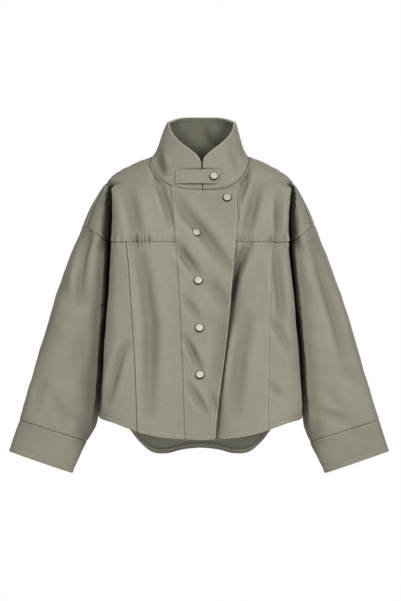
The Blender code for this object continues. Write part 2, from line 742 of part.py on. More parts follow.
shares = [n / OVERLAP_COLUMNS for n in range(OVERLAP_COLUMNS + 1)]
downs = [k / OVERLAP_ROWS for k in range(OVERLAP_ROWS + 1)]
overlap = sheet([[[overlap_point(s, d) for s in shares] for d in downs]], body_axis)
overlap_normals = {}
add_normals(overlap_normals, *overlap)
cloth_piece("placket", overlap, CLOTH, overlap_normals)

tab_rows = []
for k in range(TAB_ROWS + 1):
    z = TAB_LOW + (TAB_HIGH - TAB_LOW) * k / TAB_ROWS
    right = TAB_RIGHT - TAB_SLANT * (1 - k / TAB_ROWS)
    xs = [TAB_LEFT + (right - TAB_LEFT) * n / TAB_COLUMNS for n in range(TAB_COLUMNS + 1)]
    tab_rows.append([on_collar(x, z) for x in xs])
tab_base = sheet([tab_rows], Vector((0, 0, -0.04)))
tab_normals = {}
add_normals(tab_normals, *tab_base)
lifted = [p + tab_normals[key(p)].normalized() * (LAP_GAP + DOUBLE) for p in tab_base[0]]
tab = (lifted, tab_base[1])
lifted_normals = {}
add_normals(lifted_normals, *tab)
cloth_piece("collar_tab", tab, DOUBLE, lifted_normals)

for snap in SNAPS:
    snap_piece(snap.name, *overlap_at(snap.x, snap.z))
left_of, right_of = on_collar(TAB_SNAP.x - 0.004, TAB_SNAP.z), on_collar(TAB_SNAP.x + 0.004, TAB_SNAP.z)
below, above = on_collar(TAB_SNAP.x, TAB_SNAP.z - 0.004), on_collar(TAB_SNAP.x, TAB_SNAP.z + 0.004)
tab_out = (right_of - left_of).cross(above - below).normalized()
snap_piece(TAB_SNAP.name, on_collar(TAB_SNAP.x, TAB_SNAP.z) + tab_out * (LAP_GAP + DOUBLE), tab_out)
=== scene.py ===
import math
from collections import namedtuple

import bmesh
import bpy
import numpy as np
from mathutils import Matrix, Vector
from mathutils.bvhtree import BVHTree


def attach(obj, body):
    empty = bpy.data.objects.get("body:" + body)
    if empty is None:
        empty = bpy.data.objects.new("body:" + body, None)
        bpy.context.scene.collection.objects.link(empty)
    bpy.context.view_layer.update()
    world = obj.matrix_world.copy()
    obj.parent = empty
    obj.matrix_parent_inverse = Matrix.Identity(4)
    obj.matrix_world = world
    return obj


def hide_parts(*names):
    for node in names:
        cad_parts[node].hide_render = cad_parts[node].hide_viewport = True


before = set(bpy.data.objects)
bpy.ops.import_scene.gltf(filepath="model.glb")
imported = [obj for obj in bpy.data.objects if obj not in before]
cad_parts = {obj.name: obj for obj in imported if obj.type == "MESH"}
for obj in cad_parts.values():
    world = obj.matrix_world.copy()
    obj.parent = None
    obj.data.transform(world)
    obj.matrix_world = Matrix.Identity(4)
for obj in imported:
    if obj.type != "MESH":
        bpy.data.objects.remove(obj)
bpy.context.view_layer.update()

# The cloth: a mid-weight cotton twill, garment washed to a soft sage grey, cut in panels and sewn on one
# body form. The form and the ways of making a panel are set out here, with the back, the first panel.
# The back is one panel from the rounded tail over the shoulders to the forward shoulder seams.
CLOTH = 0.0013  # one layer of twill
FRONT, BACK, RIGHT, LEFT = -1, 1, -1, 1


def linear(code):
    """A colour given in sRGB hex as the linear values that shaders take."""
    parts = [int(code[n:n + 2], 16) / 255 for n in (0, 2, 4)]
    return [p / 12.92 if p < 0.04045 else ((p + 0.055) / 1.055) ** 2.4 for p in parts] + [1.0]


def add_node(tree, kind, sockets=(), **settings):
    """A shader node with its settings made and its inputs set or linked."""
    node = tree.nodes.new(kind)
    for name, value in settings.items():
        setattr(node, name, value)
    for name, value in dict(sockets).items():
        if isinstance(value, bpy.types.NodeSocket):
            tree.links.new(value, node.inputs[name])
        else:
            node.inputs[name].default_value = value
    return node


def new_material(name, constants):
    """A material with constants on its shader's sockets; also its nodes, its shader and its place node."""
    made = bpy.data.materials.new(name)
    made.use_nodes = True
    shader = made.node_tree.nodes["Principled BSDF"]
    for socket, value in constants.items():
        shader.inputs[socket].default_value = value
    return made, made.node_tree, shader, add_node(made.node_tree, "ShaderNodeTexCoord")


def twill_material(name, light, dark, slubs):
    """Cotton twill: matt, with a slight fuzz, a diagonal rib, soft slubs and uneven garment-wash colour."""
    made, tree, shader, place = new_material(name, {
        "Roughness": 0.92, "Specular IOR Level": 0.22, "Sheen Weight": 0.10, "Sheen Roughness": 0.5,
    })
    # The rib is drawn at 2 mm, twice the real pitch, so that it still shows. Slubs are about 2.4 mm long,
    # patches of the wash 60 mm and crumples 18 mm.
    rib = add_node(tree, "ShaderNodeTexWave", {
        "Vector": place.outputs["UV"], "Scale": 0.628 / 0.0020, "Distortion": 1.2, "Detail": 1.0,
        "Detail Scale": 1.5,
    }, bands_direction="DIAGONAL")
    slub, wash, crumple = [
        add_node(tree, "ShaderNodeTexNoise", {
            "Vector": place.outputs["Object"], "Scale": scale, "Detail": detail, "Roughness": roughness,
        }).outputs["Fac"]
        for scale, detail, roughness in ((420.0, 2.0, 0.6), (16.0, 3.0, 0.55), (55.0, 2.5, 0.5))
    ]
    tone = add_node(tree, "ShaderNodeMix", {
        "Factor": wash, "A": linear(dark), "B": linear(light),
    }, data_type="RGBA")
    fleck = add_node(tree, "ShaderNodeMix", {
        "Factor": slub, "A": tone.outputs["Result"], "B": linear(slubs),
    }, data_type="RGBA")
    relief = add_node(tree, "ShaderNodeBump", {"Height": crumple, "Strength": 0.45, "Distance": 0.0016})
    for height, strength, distance in ((slub, 0.25, 0.0004), (rib.outputs["Fac"], 0.22, 0.0003)):
        relief = add_node(tree, "ShaderNodeBump", {
            "Height": height, "Strength": strength, "Distance": distance, "Normal": relief.outputs["Normal"],
        })
    tree.links.new(relief.outputs["Normal"], shader.inputs["Normal"])
    # Painted light: the colour is multiplied by a per-point attribute, painted shade in creases, hollows and
    # seams and painted highlight on raised and rolled edges, with some rubbed wear.
    painted_light_and_wear = add_node(tree, "ShaderNodeAttribute", attribute_name="painted_light_and_wear")
    worn = add_node(tree, "ShaderNodeMix", {
        "Factor": 1.0, "A": fleck.outputs["Result"], "B": painted_light_and_wear.outputs["Color"],
    }, data_type="RGBA", blend_type="MULTIPLY")
    tree.links.new(worn.outputs["Result"], shader.inputs["Base Color"])
    return made


# The face of the twill.
twill = twill_material("cotton_twill", "8d897a", "827e6f", "9d998a")

# Body sections: height, half width, depth of front and back, how far the sleeve presses the side in, and
# how flat the section runs out to the side.
BODY = (
    (0.0000, 0.0930, 0.040, 0.062, 0.000, 3.5), (-0.0084, 0.1150, 0.046, 0.067, 0.000, 3.5),
    (-0.0258, 0.1490, 0.058, 0.075, 0.000, 3.5), (-0.0378, 0.1675, 0.066, 0.081, 0.000, 3.5),
    (-0.0440, 0.1740, 0.070, 0.084, 0.000, 3.5), (-0.0600, 0.1705, 0.081, 0.090, 0.000, 8.0),
    (-0.0817, 0.1680, 0.095, 0.097, 0.000, 12.0), (-0.1610, 0.1685, 0.120, 0.110, 0.000, 15.0),
    (-0.2090, 0.1730, 0.126, 0.113, 0.000, 15.0), (-0.2720, 0.1785, 0.130, 0.116, 0.000, 15.0),
    (-0.3000, 0.1840, 0.132, 0.117, 0.006, 15.0), (-0.3306, 0.1890, 0.133, 0.118, 0.011, 15.0),
    (-0.4030, 0.1952, 0.136, 0.121, 0.012, 12.0), (-0.4940, 0.1985, 0.138, 0.125, 0.012, 9.0),
    (-0.5700, 0.1995, 0.139, 0.127, 0.012, 7.0),
)
# Hem heights at distances from the middle, front and back.
HEM = (
    (0.000, -0.5346, -0.5555), (0.035, -0.5330, -0.5590), (0.070, -0.5300, -0.5665),
    (0.095, -0.5255, -0.5625), (0.120, -0.5190, -0.5400), (0.145, -0.5100, -0.5105),
    (0.170, -0.5000, -0.497), (0.1985, -0.4930, -0.493),
)
ROUND_IN, TUCK_SPREAD = 2.3, 0.030
TIP_Z, TIP_DEPTH, YOKE_Z, UNDERARM_Z = -0.0440, 0.024, -0.1610, -0.2720
SLEEVE_TOP, CREASE_X = Vector((0.2217, 0.0, -0.1254)), 0.1757
CAP_DEPTH = {FRONT: 0.062, BACK: 0.066}
CAP_TURN, SEAM_TURN = math.radians(140), math.radians(26)
CAP_BULGE, CAP_START, CREASE_START = 0.004, 0.6, 0.85
SPREAD = {RIGHT: 0.0020, LEFT: -0.0040}
NECK_HALF, NECK_DROP, NECK_OUT, NECK_IN = 0.0930, 0.0646, 3.0, 1.8


def smooth(table, column):
    """A column of a table as a smooth curve over the first column, without overshoot."""
    rows = sorted(table)
    keys, values = [r[0] for r in rows], [r[column] for r in rows]
    slopes = [(values[k + 1] - values[k]) / (keys[k + 1] - keys[k]) for k in range(len(keys) - 1)]
    pairs = list(zip(slopes, slopes[1:]))
    tangents = [slopes[0]] + [2 * p * q / (p + q) if p * q > 0 else 0.0 for p, q in pairs] + [slopes[-1]]
    at, made = [], []
    for k, slope in enumerate(slopes):
        width = keys[k + 1] - keys[k]
        s = np.linspace(0, 1, 60)
        bend = (s - s * s) * ((1 - s) * tangents[k] - s * tangents[k + 1]) * width
        at.append(keys[k] + s * width)
        made.append(values[k] + slope * width * s * s * (3 - 2 * s) + bend)
    at, made = np.concatenate(at), np.concatenate(made)
    return lambda place: np.interp(place, at, made)


half_width, tuck_at, square_at = [smooth(BODY, n) for n in (1, 4, 5)]
depth_at = {FRONT: smooth(BODY, 2), BACK: smooth(BODY, 3)}
hem_at = {FRONT: smooth(HEM, 1), BACK: smooth(HEM, 2)}


def crease_depth(face, z):
    """How far the crease between body and sleeve lies in front of (or behind) the shoulder line."""
    deepest = CAP_DEPTH[face] * math.sin(CAP_TURN)
    if z >= TIP_Z or z <= UNDERARM_Z:
        return 0.0
    if z >= YOKE_Z:
        return TIP_DEPTH + (deepest - TIP_DEPTH) * ((TIP_Z - z) / (TIP_Z - YOKE_Z)) ** CREASE_START
    return deepest * math.sqrt(1 - ((YOKE_Z - z) / (YOKE_Z - UNDERARM_Z)) ** 2)


def across(a):
    """Share of the half width for a column, columns crowding towards the side."""
    return 2 * a if a < 0 else 1 - (1 - a) ** 2


def column_at(x, z):
    """Column of the body form at a distance from the middle."""
    u = x / half_width(z)
    return u / 2 if u < 0 else 1 - math.sqrt(max(0.0, 1 - u))


def torso(side, face, a, z, creased=True):
    """A point of the body form: column a from the middle (0) to the side (1), at a height."""
    u = across(a)
    rim = crease_depth(face, z) if creased else 0.0
    fullness = max(0.0, 1 - abs(u) ** square_at(z)) ** (1 / ROUND_IN)
    depth = depth_at[face](z) * fullness + rim * (1 - fullness) ** 3
    tuck = tuck_at(z) * math.exp(-((depth / TUCK_SPREAD) ** 2))
    return Vector((side * (half_width(z) * u - tuck), face * depth, z))


def neckline(x):
    """Height of the front neckline."""
    return -NECK_DROP * np.maximum(0.0, 1 - (np.abs(x) / NECK_HALF) ** NECK_OUT) ** (1 / NECK_IN)


def neck_height(face, a):
    """Height at which a column of the body form meets the neckline."""
    low, high = -NECK_DROP, 0.0
    if face == BACK or a >= 1:
        return 0.0
    for _ in range(40):
        middle = (low + high) / 2
        if middle < neckline(half_width(middle) * across(a)):
            low = middle
        else:
            high = middle
    return high


def tip_column(face, turn):
    """Column of the shoulder above a column of the sleeve cap."""
    fullness = TIP_DEPTH * turn / CAP_TURN / depth_at[face](TIP_Z)
    return 1 - math.sqrt(1 - (1 - fullness**ROUND_IN) ** (1 / square_at(TIP_Z)))


CAP_ROWS, SHOULDER_ROWS, ARMHOLE_ROWS, SKIRT_ROWS = 6, 5, 5, 7
UPPER = [YOKE_Z + (TIP_Z - YOKE_Z) * k / CAP_ROWS for k in range(CAP_ROWS)]
UPPER += [TIP_Z * (1 - k / SHOULDER_ROWS) for k in range(SHOULDER_ROWS + 1)]
ARMHOLE = [
    YOKE_Z - (YOKE_Z - UNDERARM_Z) * math.cos(math.pi / 2 * k / ARMHOLE_ROWS) for k in range(ARMHOLE_ROWS + 1)
]


def upper_point(side, face, a, row):
    """A point of the upper body on a column and a row of UPPER."""
    share = (UPPER[row] - YOKE_Z) / -YOKE_Z
    z = YOKE_Z + (neck_height(face, a) - YOKE_Z) * share
    return torso(side, face, a, z, creased=row < CAP_ROWS)


def armhole_cap(side, face, turn):
    """A point of the armhole seam over the sleeve cap; turn runs from the shoulder outline to the crease."""
    share = turn / CAP_TURN
    top_x = SLEEVE_TOP.x + SPREAD[side]
    x = top_x + (CREASE_X - top_x) * share
    z = SLEEVE_TOP.z + (YOKE_Z - SLEEVE_TOP.z) * share
    return Vector((side * x, face * CAP_DEPTH[face] * math.sin(turn), z))


def cap_column(side, face, turn):
    """A column from the armhole seam up over the sleeve cap and along the shoulder to the neck."""
    column = tip_column(face, turn)
    seam, tip = armhole_cap(side, face, turn), upper_point(side, face, column, CAP_ROWS)
    start = CAP_START + (CREASE_START - CAP_START) * (turn / CAP_TURN) ** 2
    made = []
    for k in range(CAP_ROWS):
        up = k / CAP_ROWS
        point = seam.lerp(tip, up)
        point.y = tip.y + (seam.y - tip.y) * (1 - up) ** start
        point.x += side * CAP_BULGE * math.sin(math.pi * up) * max(0.0, math.cos(turn))
        made.append(point)
    return made + [upper_point(side, face, column, k) for k in range(CAP_ROWS, len(UPPER))]


def armhole_crease(side, face, z):
    """A point of the armhole seam below the yoke seam, at the bottom of the crease."""
    share = (z - UNDERARM_Z) / (YOKE_Z - UNDERARM_Z)
    x = half_width(z) + (CREASE_X - half_width(YOKE_Z)) * share
    return Vector((side * x, face * crease_depth(face, z), z))


def lower_row(side, face, k, start, end, count):
    """Row k of a lower panel, counted from the hem; start and end give a column for a height."""
    share = min(1.0, k / SKIRT_ROWS)
    z = UNDERARM_Z + (HEM[3][1] - UNDERARM_Z) * (1 - share) if k < SKIRT_ROWS else ARMHOLE[k - SKIRT_ROWS]
    row = []
    for n in range(count + 1):
        a = start(z) + (end(z) - start(z)) * n / count
        low = hem_at[face](half_width(HEM[-1][1]) * abs(across(a)))
        row.append(torso(side, face, a, low + (UNDERARM_Z - low) * share if k < SKIRT_ROWS else z))
    return row


LOWER_ROWS = SKIRT_ROWS + ARMHOLE_ROWS
STEP, FINE = 0.0034, 0.0021  # distance of grid lines, and across panels with puckers
TOUCH = 1e-9
EDGE_TICKS = (0.0, 0.0006, 0.0014, 0.0026, 0.0040, 0.0054, 0.0068, 0.0082, 0.0098, 0.0120)


def lengths(path):
    """Distance of each point of a line from its start."""
    return np.concatenate([[0.0], np.cumsum(np.linalg.norm(np.diff(path, axis=0), axis=1))])


def spans(grid, axis):
    """Mean distance of a coarse grid's lines along one axis."""
    steps = np.linalg.norm(np.diff(grid, axis=axis), axis=2).mean(axis=1 - axis)
    return np.concatenate([[0.0], np.cumsum(steps)])


def ticks(length, step, first=True, last=True):
    """Places across a panel a step apart, closer together along its sewn edges."""
    start = list(EDGE_TICKS) if first else [0.0]
    end = [length - t for t in EDGE_TICKS] if last else [length]
    count = max(1, round((end[-1] - start[-1]) / step))
    return np.array(start[:-1] + list(np.linspace(start[-1], end[-1], count + 1)) + end[-2::-1])


def refine(grid, knots, places, axis):
    """A coarse grid drawn out along one axis as smooth curves through its lines."""
    lines = np.moveaxis(grid, axis, 0)
    slopes = np.gradient(lines, knots, axis=0)
    k = np.clip(np.searchsorted(knots, places, side="right") - 1, 0, len(knots) - 2)
    width = (knots[k + 1] - knots[k])[:, None, None]
    s = ((places - knots[k]) / (knots[k + 1] - knots[k]))[:, None, None]
    bend = (s - s * s) * ((1 - s) * slopes[k] - s * slopes[k + 1]) * width
    made = lines[k] + (lines[k + 1] - lines[k]) * (s * s * (3 - 2 * s)) + bend
    return np.moveaxis(made, 0, axis)


def places_along(knots, step, breaks=(), first=True, last=True):
    """Places along a coarse grid's lines, with one place on each of the lines named as breaks."""
    stops = [0.0] + [knots[n] for n in breaks] + [knots[-1]]
    made = [0.0]
    for n, (low, high) in enumerate(zip(stops, stops[1:])):
        made += list(low + ticks(high - low, step, first and n == 0, last and n == len(stops) - 2)[1:])
    return np.array(made)


def array(rows):
    """Rows of points as a grid of numbers."""
    return np.array([[tuple(p) for p in row] for row in rows])


def fine_grid(rows, breaks, step, first=False, last=False):
    """Rows of a panel as a fine grid, with the knots and places of its rows; step is the distance across."""
    grid = array(rows)
    knots = spans(grid, 0)
    places = places_along(knots, STEP, breaks)
    grid = refine(grid, knots, places, 0)
    aside = spans(grid, 1)
    return refine(grid, aside, ticks(aside[-1], step, first, last), 1), knots, places


def bridge(one, other, count):
    """A grid of straight rungs between two lines with as many points."""
    shares = np.linspace(0, 1, count + 1)[None, :, None]
    return one[:, None, :] * (1 - shares) + other[:, None, :] * shares


# How a sewn edge is finished: lift and band are the height and width of the layers folded under it, sink is
# how far the edge rolls in, pucker is how much the thread gathers it, and rows are its rows of stitching.
# A turned edge is folded over to the inside, where its second layer shows as a band. Worn is how far the edge
# is painted paler, as rubbing and a painted highlight on its rolled edge, or below 0 how far painted shade
# darkens it down in a seam.
Sewn = namedtuple("Sewn", "lift band sink pucker rows turned worn", defaults=(False, 1.0))


def sunk(sink, pucker, worn):
    """An edge that is sewn in under its neighbour."""
    return Sewn(0.0, 0.0, sink, pucker, (), False, worn)


FELLED = Sewn(0.0007, 0.0080, 0.0006, 0.00030, (0.0022, 0.0074))
# UNDER and SHOULDER are painted darker down in their seams, as painted shade.
UNDER = sunk(0.0030, 0.00030, -1.7)
SHOULDER = Sewn(0.0007, 0.0080, 0.0012, 0.00030, (0.0022, 0.0074), False, -2.2)
HEMMED = Sewn(0.0006, 0.0088, 0.0006, 0.00050, (0.0082,), True)
FLUSH = sunk(0.0, 0.0, 0.0)
# Where a turned hem's step ends, a painted shadow line is drawn.
HEM_LIFT, HEM_PAINTED_SHADOW, FOLD_END = 0.0006, 2.8, 0.0022  # a turned hem's height, and the dark step where it ends
PALE_WIDTH, PUCKER_WIDTH, ROW_WIDTH, ROW_SINK = 0.0015, 0.0150, 0.0013, 0.0010


def ease(value, start, end):
    """Share from 0 at start to 1 at end, with soft ends."""
    share = np.clip((value - start) / (end - start), 0, 1)
    return share * share * (3 - 2 * share)


def wander(along):
    """An uneven wave along a line, about 8 to 11 mm long."""
    turns = 2 * math.pi * along
    wave = np.sin(turns / 0.0078 + 1.0) + 0.8 * np.sin(turns / 0.0113 + 2.1)
    return wave * (0.62 + 0.38 * np.sin(turns / 0.083 + 3.7))


def edge_lines(grid, edge):
    """An edge line of a grid, and the line next to it."""
    return {
        "low": (grid[0], grid[1]), "high": (grid[-1], grid[-2]),
        "start": (grid[:, 0], grid[:, 1]), "end": (grid[:, -1], grid[:, -2]),
    }[edge]


def walked(grid, axis):
    """Distance of each point of a grid from its first line, along one axis."""
    steps = np.linalg.norm(np.diff(grid, axis=axis), axis=2)
    return np.cumsum(np.concatenate([np.zeros_like(steps.take([0], axis)), steps], axis), axis)


def edge_relief(grid, edges):
    """How far each point of a grid stands off the form because of the way its edges are sewn, how far its
    edges are painted paler (painted highlight and rubbing) or darker (painted shade), and where an edge is
    turned to the inside."""
    down, aside = walked(grid, 0), walked(grid, 1)
    away = {"low": down, "high": down[-1:] - down, "start": aside, "end": aside[:, -1:] - aside}
    relief, pale, layers = np.zeros((3,) + grid.shape[:2])
    for edge, sewn in edges.items():
        d = away[edge]
        # Painted highlight and rubbing pale an edge where worn is above 0; painted shade darkens it where
        # worn is below 0.
        tone = sewn.worn * np.exp(-((d / PALE_WIDTH) ** 2))
        pale = np.maximum(pale, tone) if sewn.worn > 0 else pale + tone
        folded = 1 - ease(d, sewn.band, sewn.band + FOLD_END)
        if sewn.turned:
            # Painted shadow: a dark line where a turned hem's step ends.
            pale -= sewn.lift / HEM_LIFT * HEM_PAINTED_SHADOW * folded * (1 - folded)
            layers = np.maximum(layers, folded)
        along = grid[..., 0] if edge in ("low", "high") else grid[..., 2]
        relief += sewn.lift * folded
        relief -= sewn.sink * np.exp(-((d / (0.0010 + 0.35 * sewn.sink)) ** 2))
        relief += sewn.pucker * wander(along) * np.exp(-((d / PUCKER_WIDTH) ** 2))
        for row in sewn.rows:
            relief -= ROW_SINK * np.exp(-(((d - row) / ROW_WIDTH) ** 2))
    return relief, pale, layers


# Where the body's edge shows beside the crease, right and left, and how wide the bottom of the crease is.
EDGE = (
    (-0.0440, 0.1720, 0.1735, 0.000), (-0.0600, 0.1695, 0.1715, 0.001), (-0.0837, 0.1672, 0.1685, 0.002),
    (-0.1138, 0.1668, 0.1655, 0.003), (-0.1645, 0.1682, 0.1660, 0.003), (-0.2341, 0.1710, 0.1720, 0.002),
    (-0.3093, 0.1764, 0.1795, 0.002), (-0.3563, 0.1798, 0.1833, 0.002), (-0.4221, 0.1832, 0.1887, 0.002),
    (-0.4950, 0.1875, 0.1920, 0.002),
)
edge_right, edge_left, crease_width = [smooth(EDGE, n) for n in (1, 2, 3)]
# The crease's wall, the depth of its floor at the back, how far it runs in under the edge, and the share of
# the body's depth at which the front turns in.
CREASE_WALL, CREASE_FLOOR, UNDERCUT, EDGE_DEPTH = 0.011, 0.024, 0.008, 0.81
# How far forward the front of the sleeve stays full beside the crease, at heights.
SLEEVE_FLAT = ((-0.150, 0.058), (-0.380, 0.058), (-0.420, 0.055), (-0.470, 0.052), (-0.530, 0.046))
sleeve_flat = smooth(SLEEVE_FLAT, 1)
# Ranges over which the crease comes in: heights, then how far the body's side is drawn under, the sleeve
# kept full and the front kept flat, each by height, depth or distance from the edge.
CREASE_TOP, CREASE_END = (-0.042, -0.062), (-0.520, -0.470)
UNDER_OUT, UNDER_DEEP, UNDER_BACK = (0.012, 0.0), (0.060, 0.042), (0.045, 0.010)
UNDER_SLEEVE = (-0.310, -0.275)
FULL_IN, FULL_OUT, FULL_DEEP = (0.006, 0.012), (0.060, 0.030), (0.015, 0.035)
FULL_TOP, FULL_END_FRONT, FULL_END_BACK = (-0.150, -0.190), (-0.535, -0.490), (-0.460, -0.400)
SIDE_IN, WIDEN = (-0.004, 0.0), (0.70, 0.90)
FLAT_DEEP, FLAT_OUT, FLAT_IN = (0.035, 0.065), (1.0, 0.985), (0.70, 0.72)


def ripple(points, length, seed):
    """A gentle uneven swelling of the cloth over a length, between about -1 and 1."""
    random = np.random.default_rng(seed)
    total = np.zeros(len(points))
    for _ in range(6):
        direction = random.normal(size=3)
        direction *= 2 * math.pi / (length * random.uniform(0.7, 1.5)) / np.linalg.norm(direction)
        total += np.sin(points @ direction + random.uniform(0, 6.28))
    return total / 2.6


def folds(points, normals, table, facing):
    """Relief of listed creases: each is a soft trough along a line of points, seen from one side."""
    relief = np.zeros(len(points))
    flat = points[:, [0, 2]]
    for width, depth, *path in table:
        path = np.array(path)
        before = lengths(path)
        nearest, aside, share = [np.full(len(points), value) for value in (9.0, 9.0, 0.0)]
        for n, (start, step) in enumerate(zip(path, np.diff(path, axis=0))):
            length = np.linalg.norm(step)
            at = np.clip((flat - start) @ step / length**2, 0, 1)
            gap = flat - start - at[:, None] * step
            off = np.linalg.norm(gap, axis=1)
            closer = off < nearest
            nearest = np.where(closer, off, nearest)
            aside = np.where(closer, np.sign(gap @ np.array((step[1], -step[0]))) * off, aside)
            share = np.where(closer, (before[n] + at * length) / before[-1], share)
        strength = 0.25 + 0.75 * np.sin(math.pi * np.clip(share, 0.04, 0.96)) ** 0.7
        ridges = 0.40 * np.exp(-((aside / width - 1.8) ** 2)) + 0.22 * np.exp(-((aside / width + 1.9) ** 2))
        ridges *= np.exp(-(((share - 0.5) / 0.45) ** 4))
        relief -= depth * strength * (np.exp(-((nearest / width) ** 2)) - ridges)
    return relief * np.clip(facing * normals[:, 1] * 1.6, 0, 1)


surfaces = {}
Patch = namedtuple("Patch", "grid edges")
BODY_AXIS = Vector((0, 0, -0.27))
STITCH, STITCH_LENGTH, STITCH_FULL, STITCH_REACH = 0.0058, 0.0040, 0.55, 0.012
STITCH_WIDTH, STITCH_RISE, STITCH_SINK = 0.0007, 0.0006, 0.0004
# Painted shade and highlight that follow the relief: darker down to a depth and again below it, paler up to a
# height.
RELIEF_PAINTED_SHADE, RELIEF_SHADE_DEPTH, RELIEF_PAINTED_HIGHLIGHT, RELIEF_HIGHLIGHT_HEIGHT = 0.27, 0.005, 0.08, 0.004
# Then the painted shade of deep hollows, the strength of the edges' painted highlight and shade, and the
# painted shade in the crease beside the sleeve.
DEEP_PAINTED_SHADE, DEEP, EDGE_PALE, CREASE_PAINTED_SHADE = 0.20, 0.010, 0.20, 0.70


def thread_material():
    """Cotton-wrapped sewing thread, dyed with the cloth and a little paler."""
    made, tree, shader, place = new_material("sewing_thread", {"Roughness": 0.75})
    # The twist of the yarns, about 1 mm.
    twist = add_node(tree, "ShaderNodeTexNoise", {"Vector": place.outputs["Object"], "Scale": 900.0})
    tone = add_node(tree, "ShaderNodeMix", {
        "Factor": twist.outputs["Fac"], "A": linear("9f9b8c"), "B": linear("b8b4a5"),
    }, data_type="RGBA")
    tree.links.new(tone.outputs["Result"], shader.inputs["Base Color"])
    return made


thread_fibre = thread_material()


def unit(steps):
    """Rows of numbers as directions of length 1."""
    return steps / (np.linalg.norm(steps, axis=1)[:, None] + 1e-12)


def stitches(tree, line, beside, distance):
    """Corner points of one row of stitches that runs at a distance inside an edge line, on a surface."""
    tangent = unit(np.gradient(line, axis=0))
    inward = beside - line
    path = line + unit(inward - tangent * (inward * tangent).sum(axis=1)[:, None]) * distance
    length = lengths(path)
    made = []
    for at in np.arange(STITCH, length[-1] - STITCH, STITCH):
        ends = [[np.interp(at + d, length, path[:, n]) for n in range(3)] for d in (0, STITCH_LENGTH)]
        start, end = np.array(ends)
        spot, out, _, gap = tree.find_nearest(Vector((start + end) / 2))
        if gap > STITCH_REACH:
            continue
        along = Vector(end - start)
        along = (along - out * along.dot(out)).normalized()
        aside = out.cross(along)
        rise = out * STITCH_RISE
        half = along * STITCH_LENGTH / 2
        ring = [aside * STITCH_WIDTH, rise, aside * -STITCH_WIDTH, out * -STITCH_SINK]
        body = [spot + half * full + r for full in (-STITCH_FULL, STITCH_FULL) for r in ring]
        made.append([spot - half - rise * 0.6, *body, spot + half - rise * 0.6])
    return made


STITCH_FACES = [(0, 2, 1), (0, 3, 2), (0, 4, 3), (0, 1, 4), (9, 5, 6), (9, 6, 7), (9, 7, 8), (9, 8, 5)]
STITCH_FACES += [(1, 2, 6, 5), (2, 3, 7, 6), (3, 4, 8, 7), (4, 1, 5, 8)]


def add_object(name, data):
    """A new object in the scene, at the origin."""
    made = bpy.data.objects.new(name, data)
    bpy.context.scene.collection.objects.link(made)
    return made


def topstitch(node, patches):
    """All rows of stitching of a panel as one piece of thread, or None if it has none."""
    sewn = []
    for patch in patches:
        for edge, finish in patch.edges.items():
            line, beside = edge_lines(patch.grid, edge)
            for row in finish.rows:
                sewn += stitches(surfaces[node], line, beside, row)
    if not sewn:
        return None
    points = [p for stitch in sewn for p in stitch]
    faces = [[10 * n + k for k in face] for n in range(len(sewn)) for face in STITCH_FACES]
    mesh = bpy.data.meshes.new("thread_" + node)
    mesh.from_pydata(points, [], faces)
    mesh.polygons.foreach_set("use_smooth", [True] * len(faces))
    mesh.materials.append(thread_fibre)
    thread = add_object("thread_" + node, mesh)
    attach(thread, "root")
    return thread


def weld(patches):
    """Patches as one surface: points, faces, weave coordinates of face corners, and what edge_relief says."""
    points, faces, weave, finish, base = [], [], [], [], 0
    for patch in patches:
        rows, columns = patch.grid.shape[:2]
        index = base + np.arange(rows * columns).reshape(rows, columns)
        quads = np.stack([index[:-1, :-1], index[:-1, 1:], index[1:, 1:], index[1:, :-1]], -1).reshape(-1, 4)
        points.append(patch.grid.reshape(-1, 3))
        finish.append(np.reshape(edge_relief(patch.grid, patch.edges), (3, -1)))
        faces.append(quads)
        weave.append(np.stack(np.meshgrid(spans(patch.grid, 1), spans(patch.grid, 0)), -1).reshape(-1, 2))
        base += rows * columns
    points, faces, finish = np.concatenate(points), np.concatenate(faces), np.concatenate(finish, 1)
    weave = np.concatenate(weave)[faces]
    spots = np.round(points * 2e4).astype(int)
    _, first, same = np.unique(spots, axis=0, return_index=True, return_inverse=True)
    same = same.reshape(-1)
    return points[first], same[faces], weave, [np.bincount(same, f) / np.bincount(same) for f in finish]


def place_mesh(name, points, faces, corners):
    """A mesh object at the origin, with weave coordinates on its face corners."""
    kept_faces, kept_corners = [], []
    for face, corner in zip(faces.tolist(), corners):
        ring = list(dict.fromkeys(face))
        if len(ring) > 2:
            kept_faces.append(ring)
            kept_corners += [corner[face.index(n)] for n in ring]
    mesh = bpy.data.meshes.new(name)
    mesh.from_pydata(points.tolist(), [], kept_faces)
    layer = mesh.uv_layers.new(name="weave")
    layer.data.foreach_set("uv", np.array(kept_corners, dtype=np.float32).ravel())
    return add_object(name, mesh)


def face_out(mesh, inside):
    """Turn all faces of an open surface to look away from a point inside."""
    shell = bmesh.new()
    shell.from_mesh(mesh)
    bmesh.ops.recalc_face_normals(shell, faces=shell.faces[:])
    outward = sum(f.calc_area() * f.normal.dot(f.calc_center_median() - inside) for f in shell.faces)
    if outward < 0:
        bmesh.ops.reverse_faces(shell, faces=shell.faces[:])
    shell.to_mesh(mesh)
    shell.free()


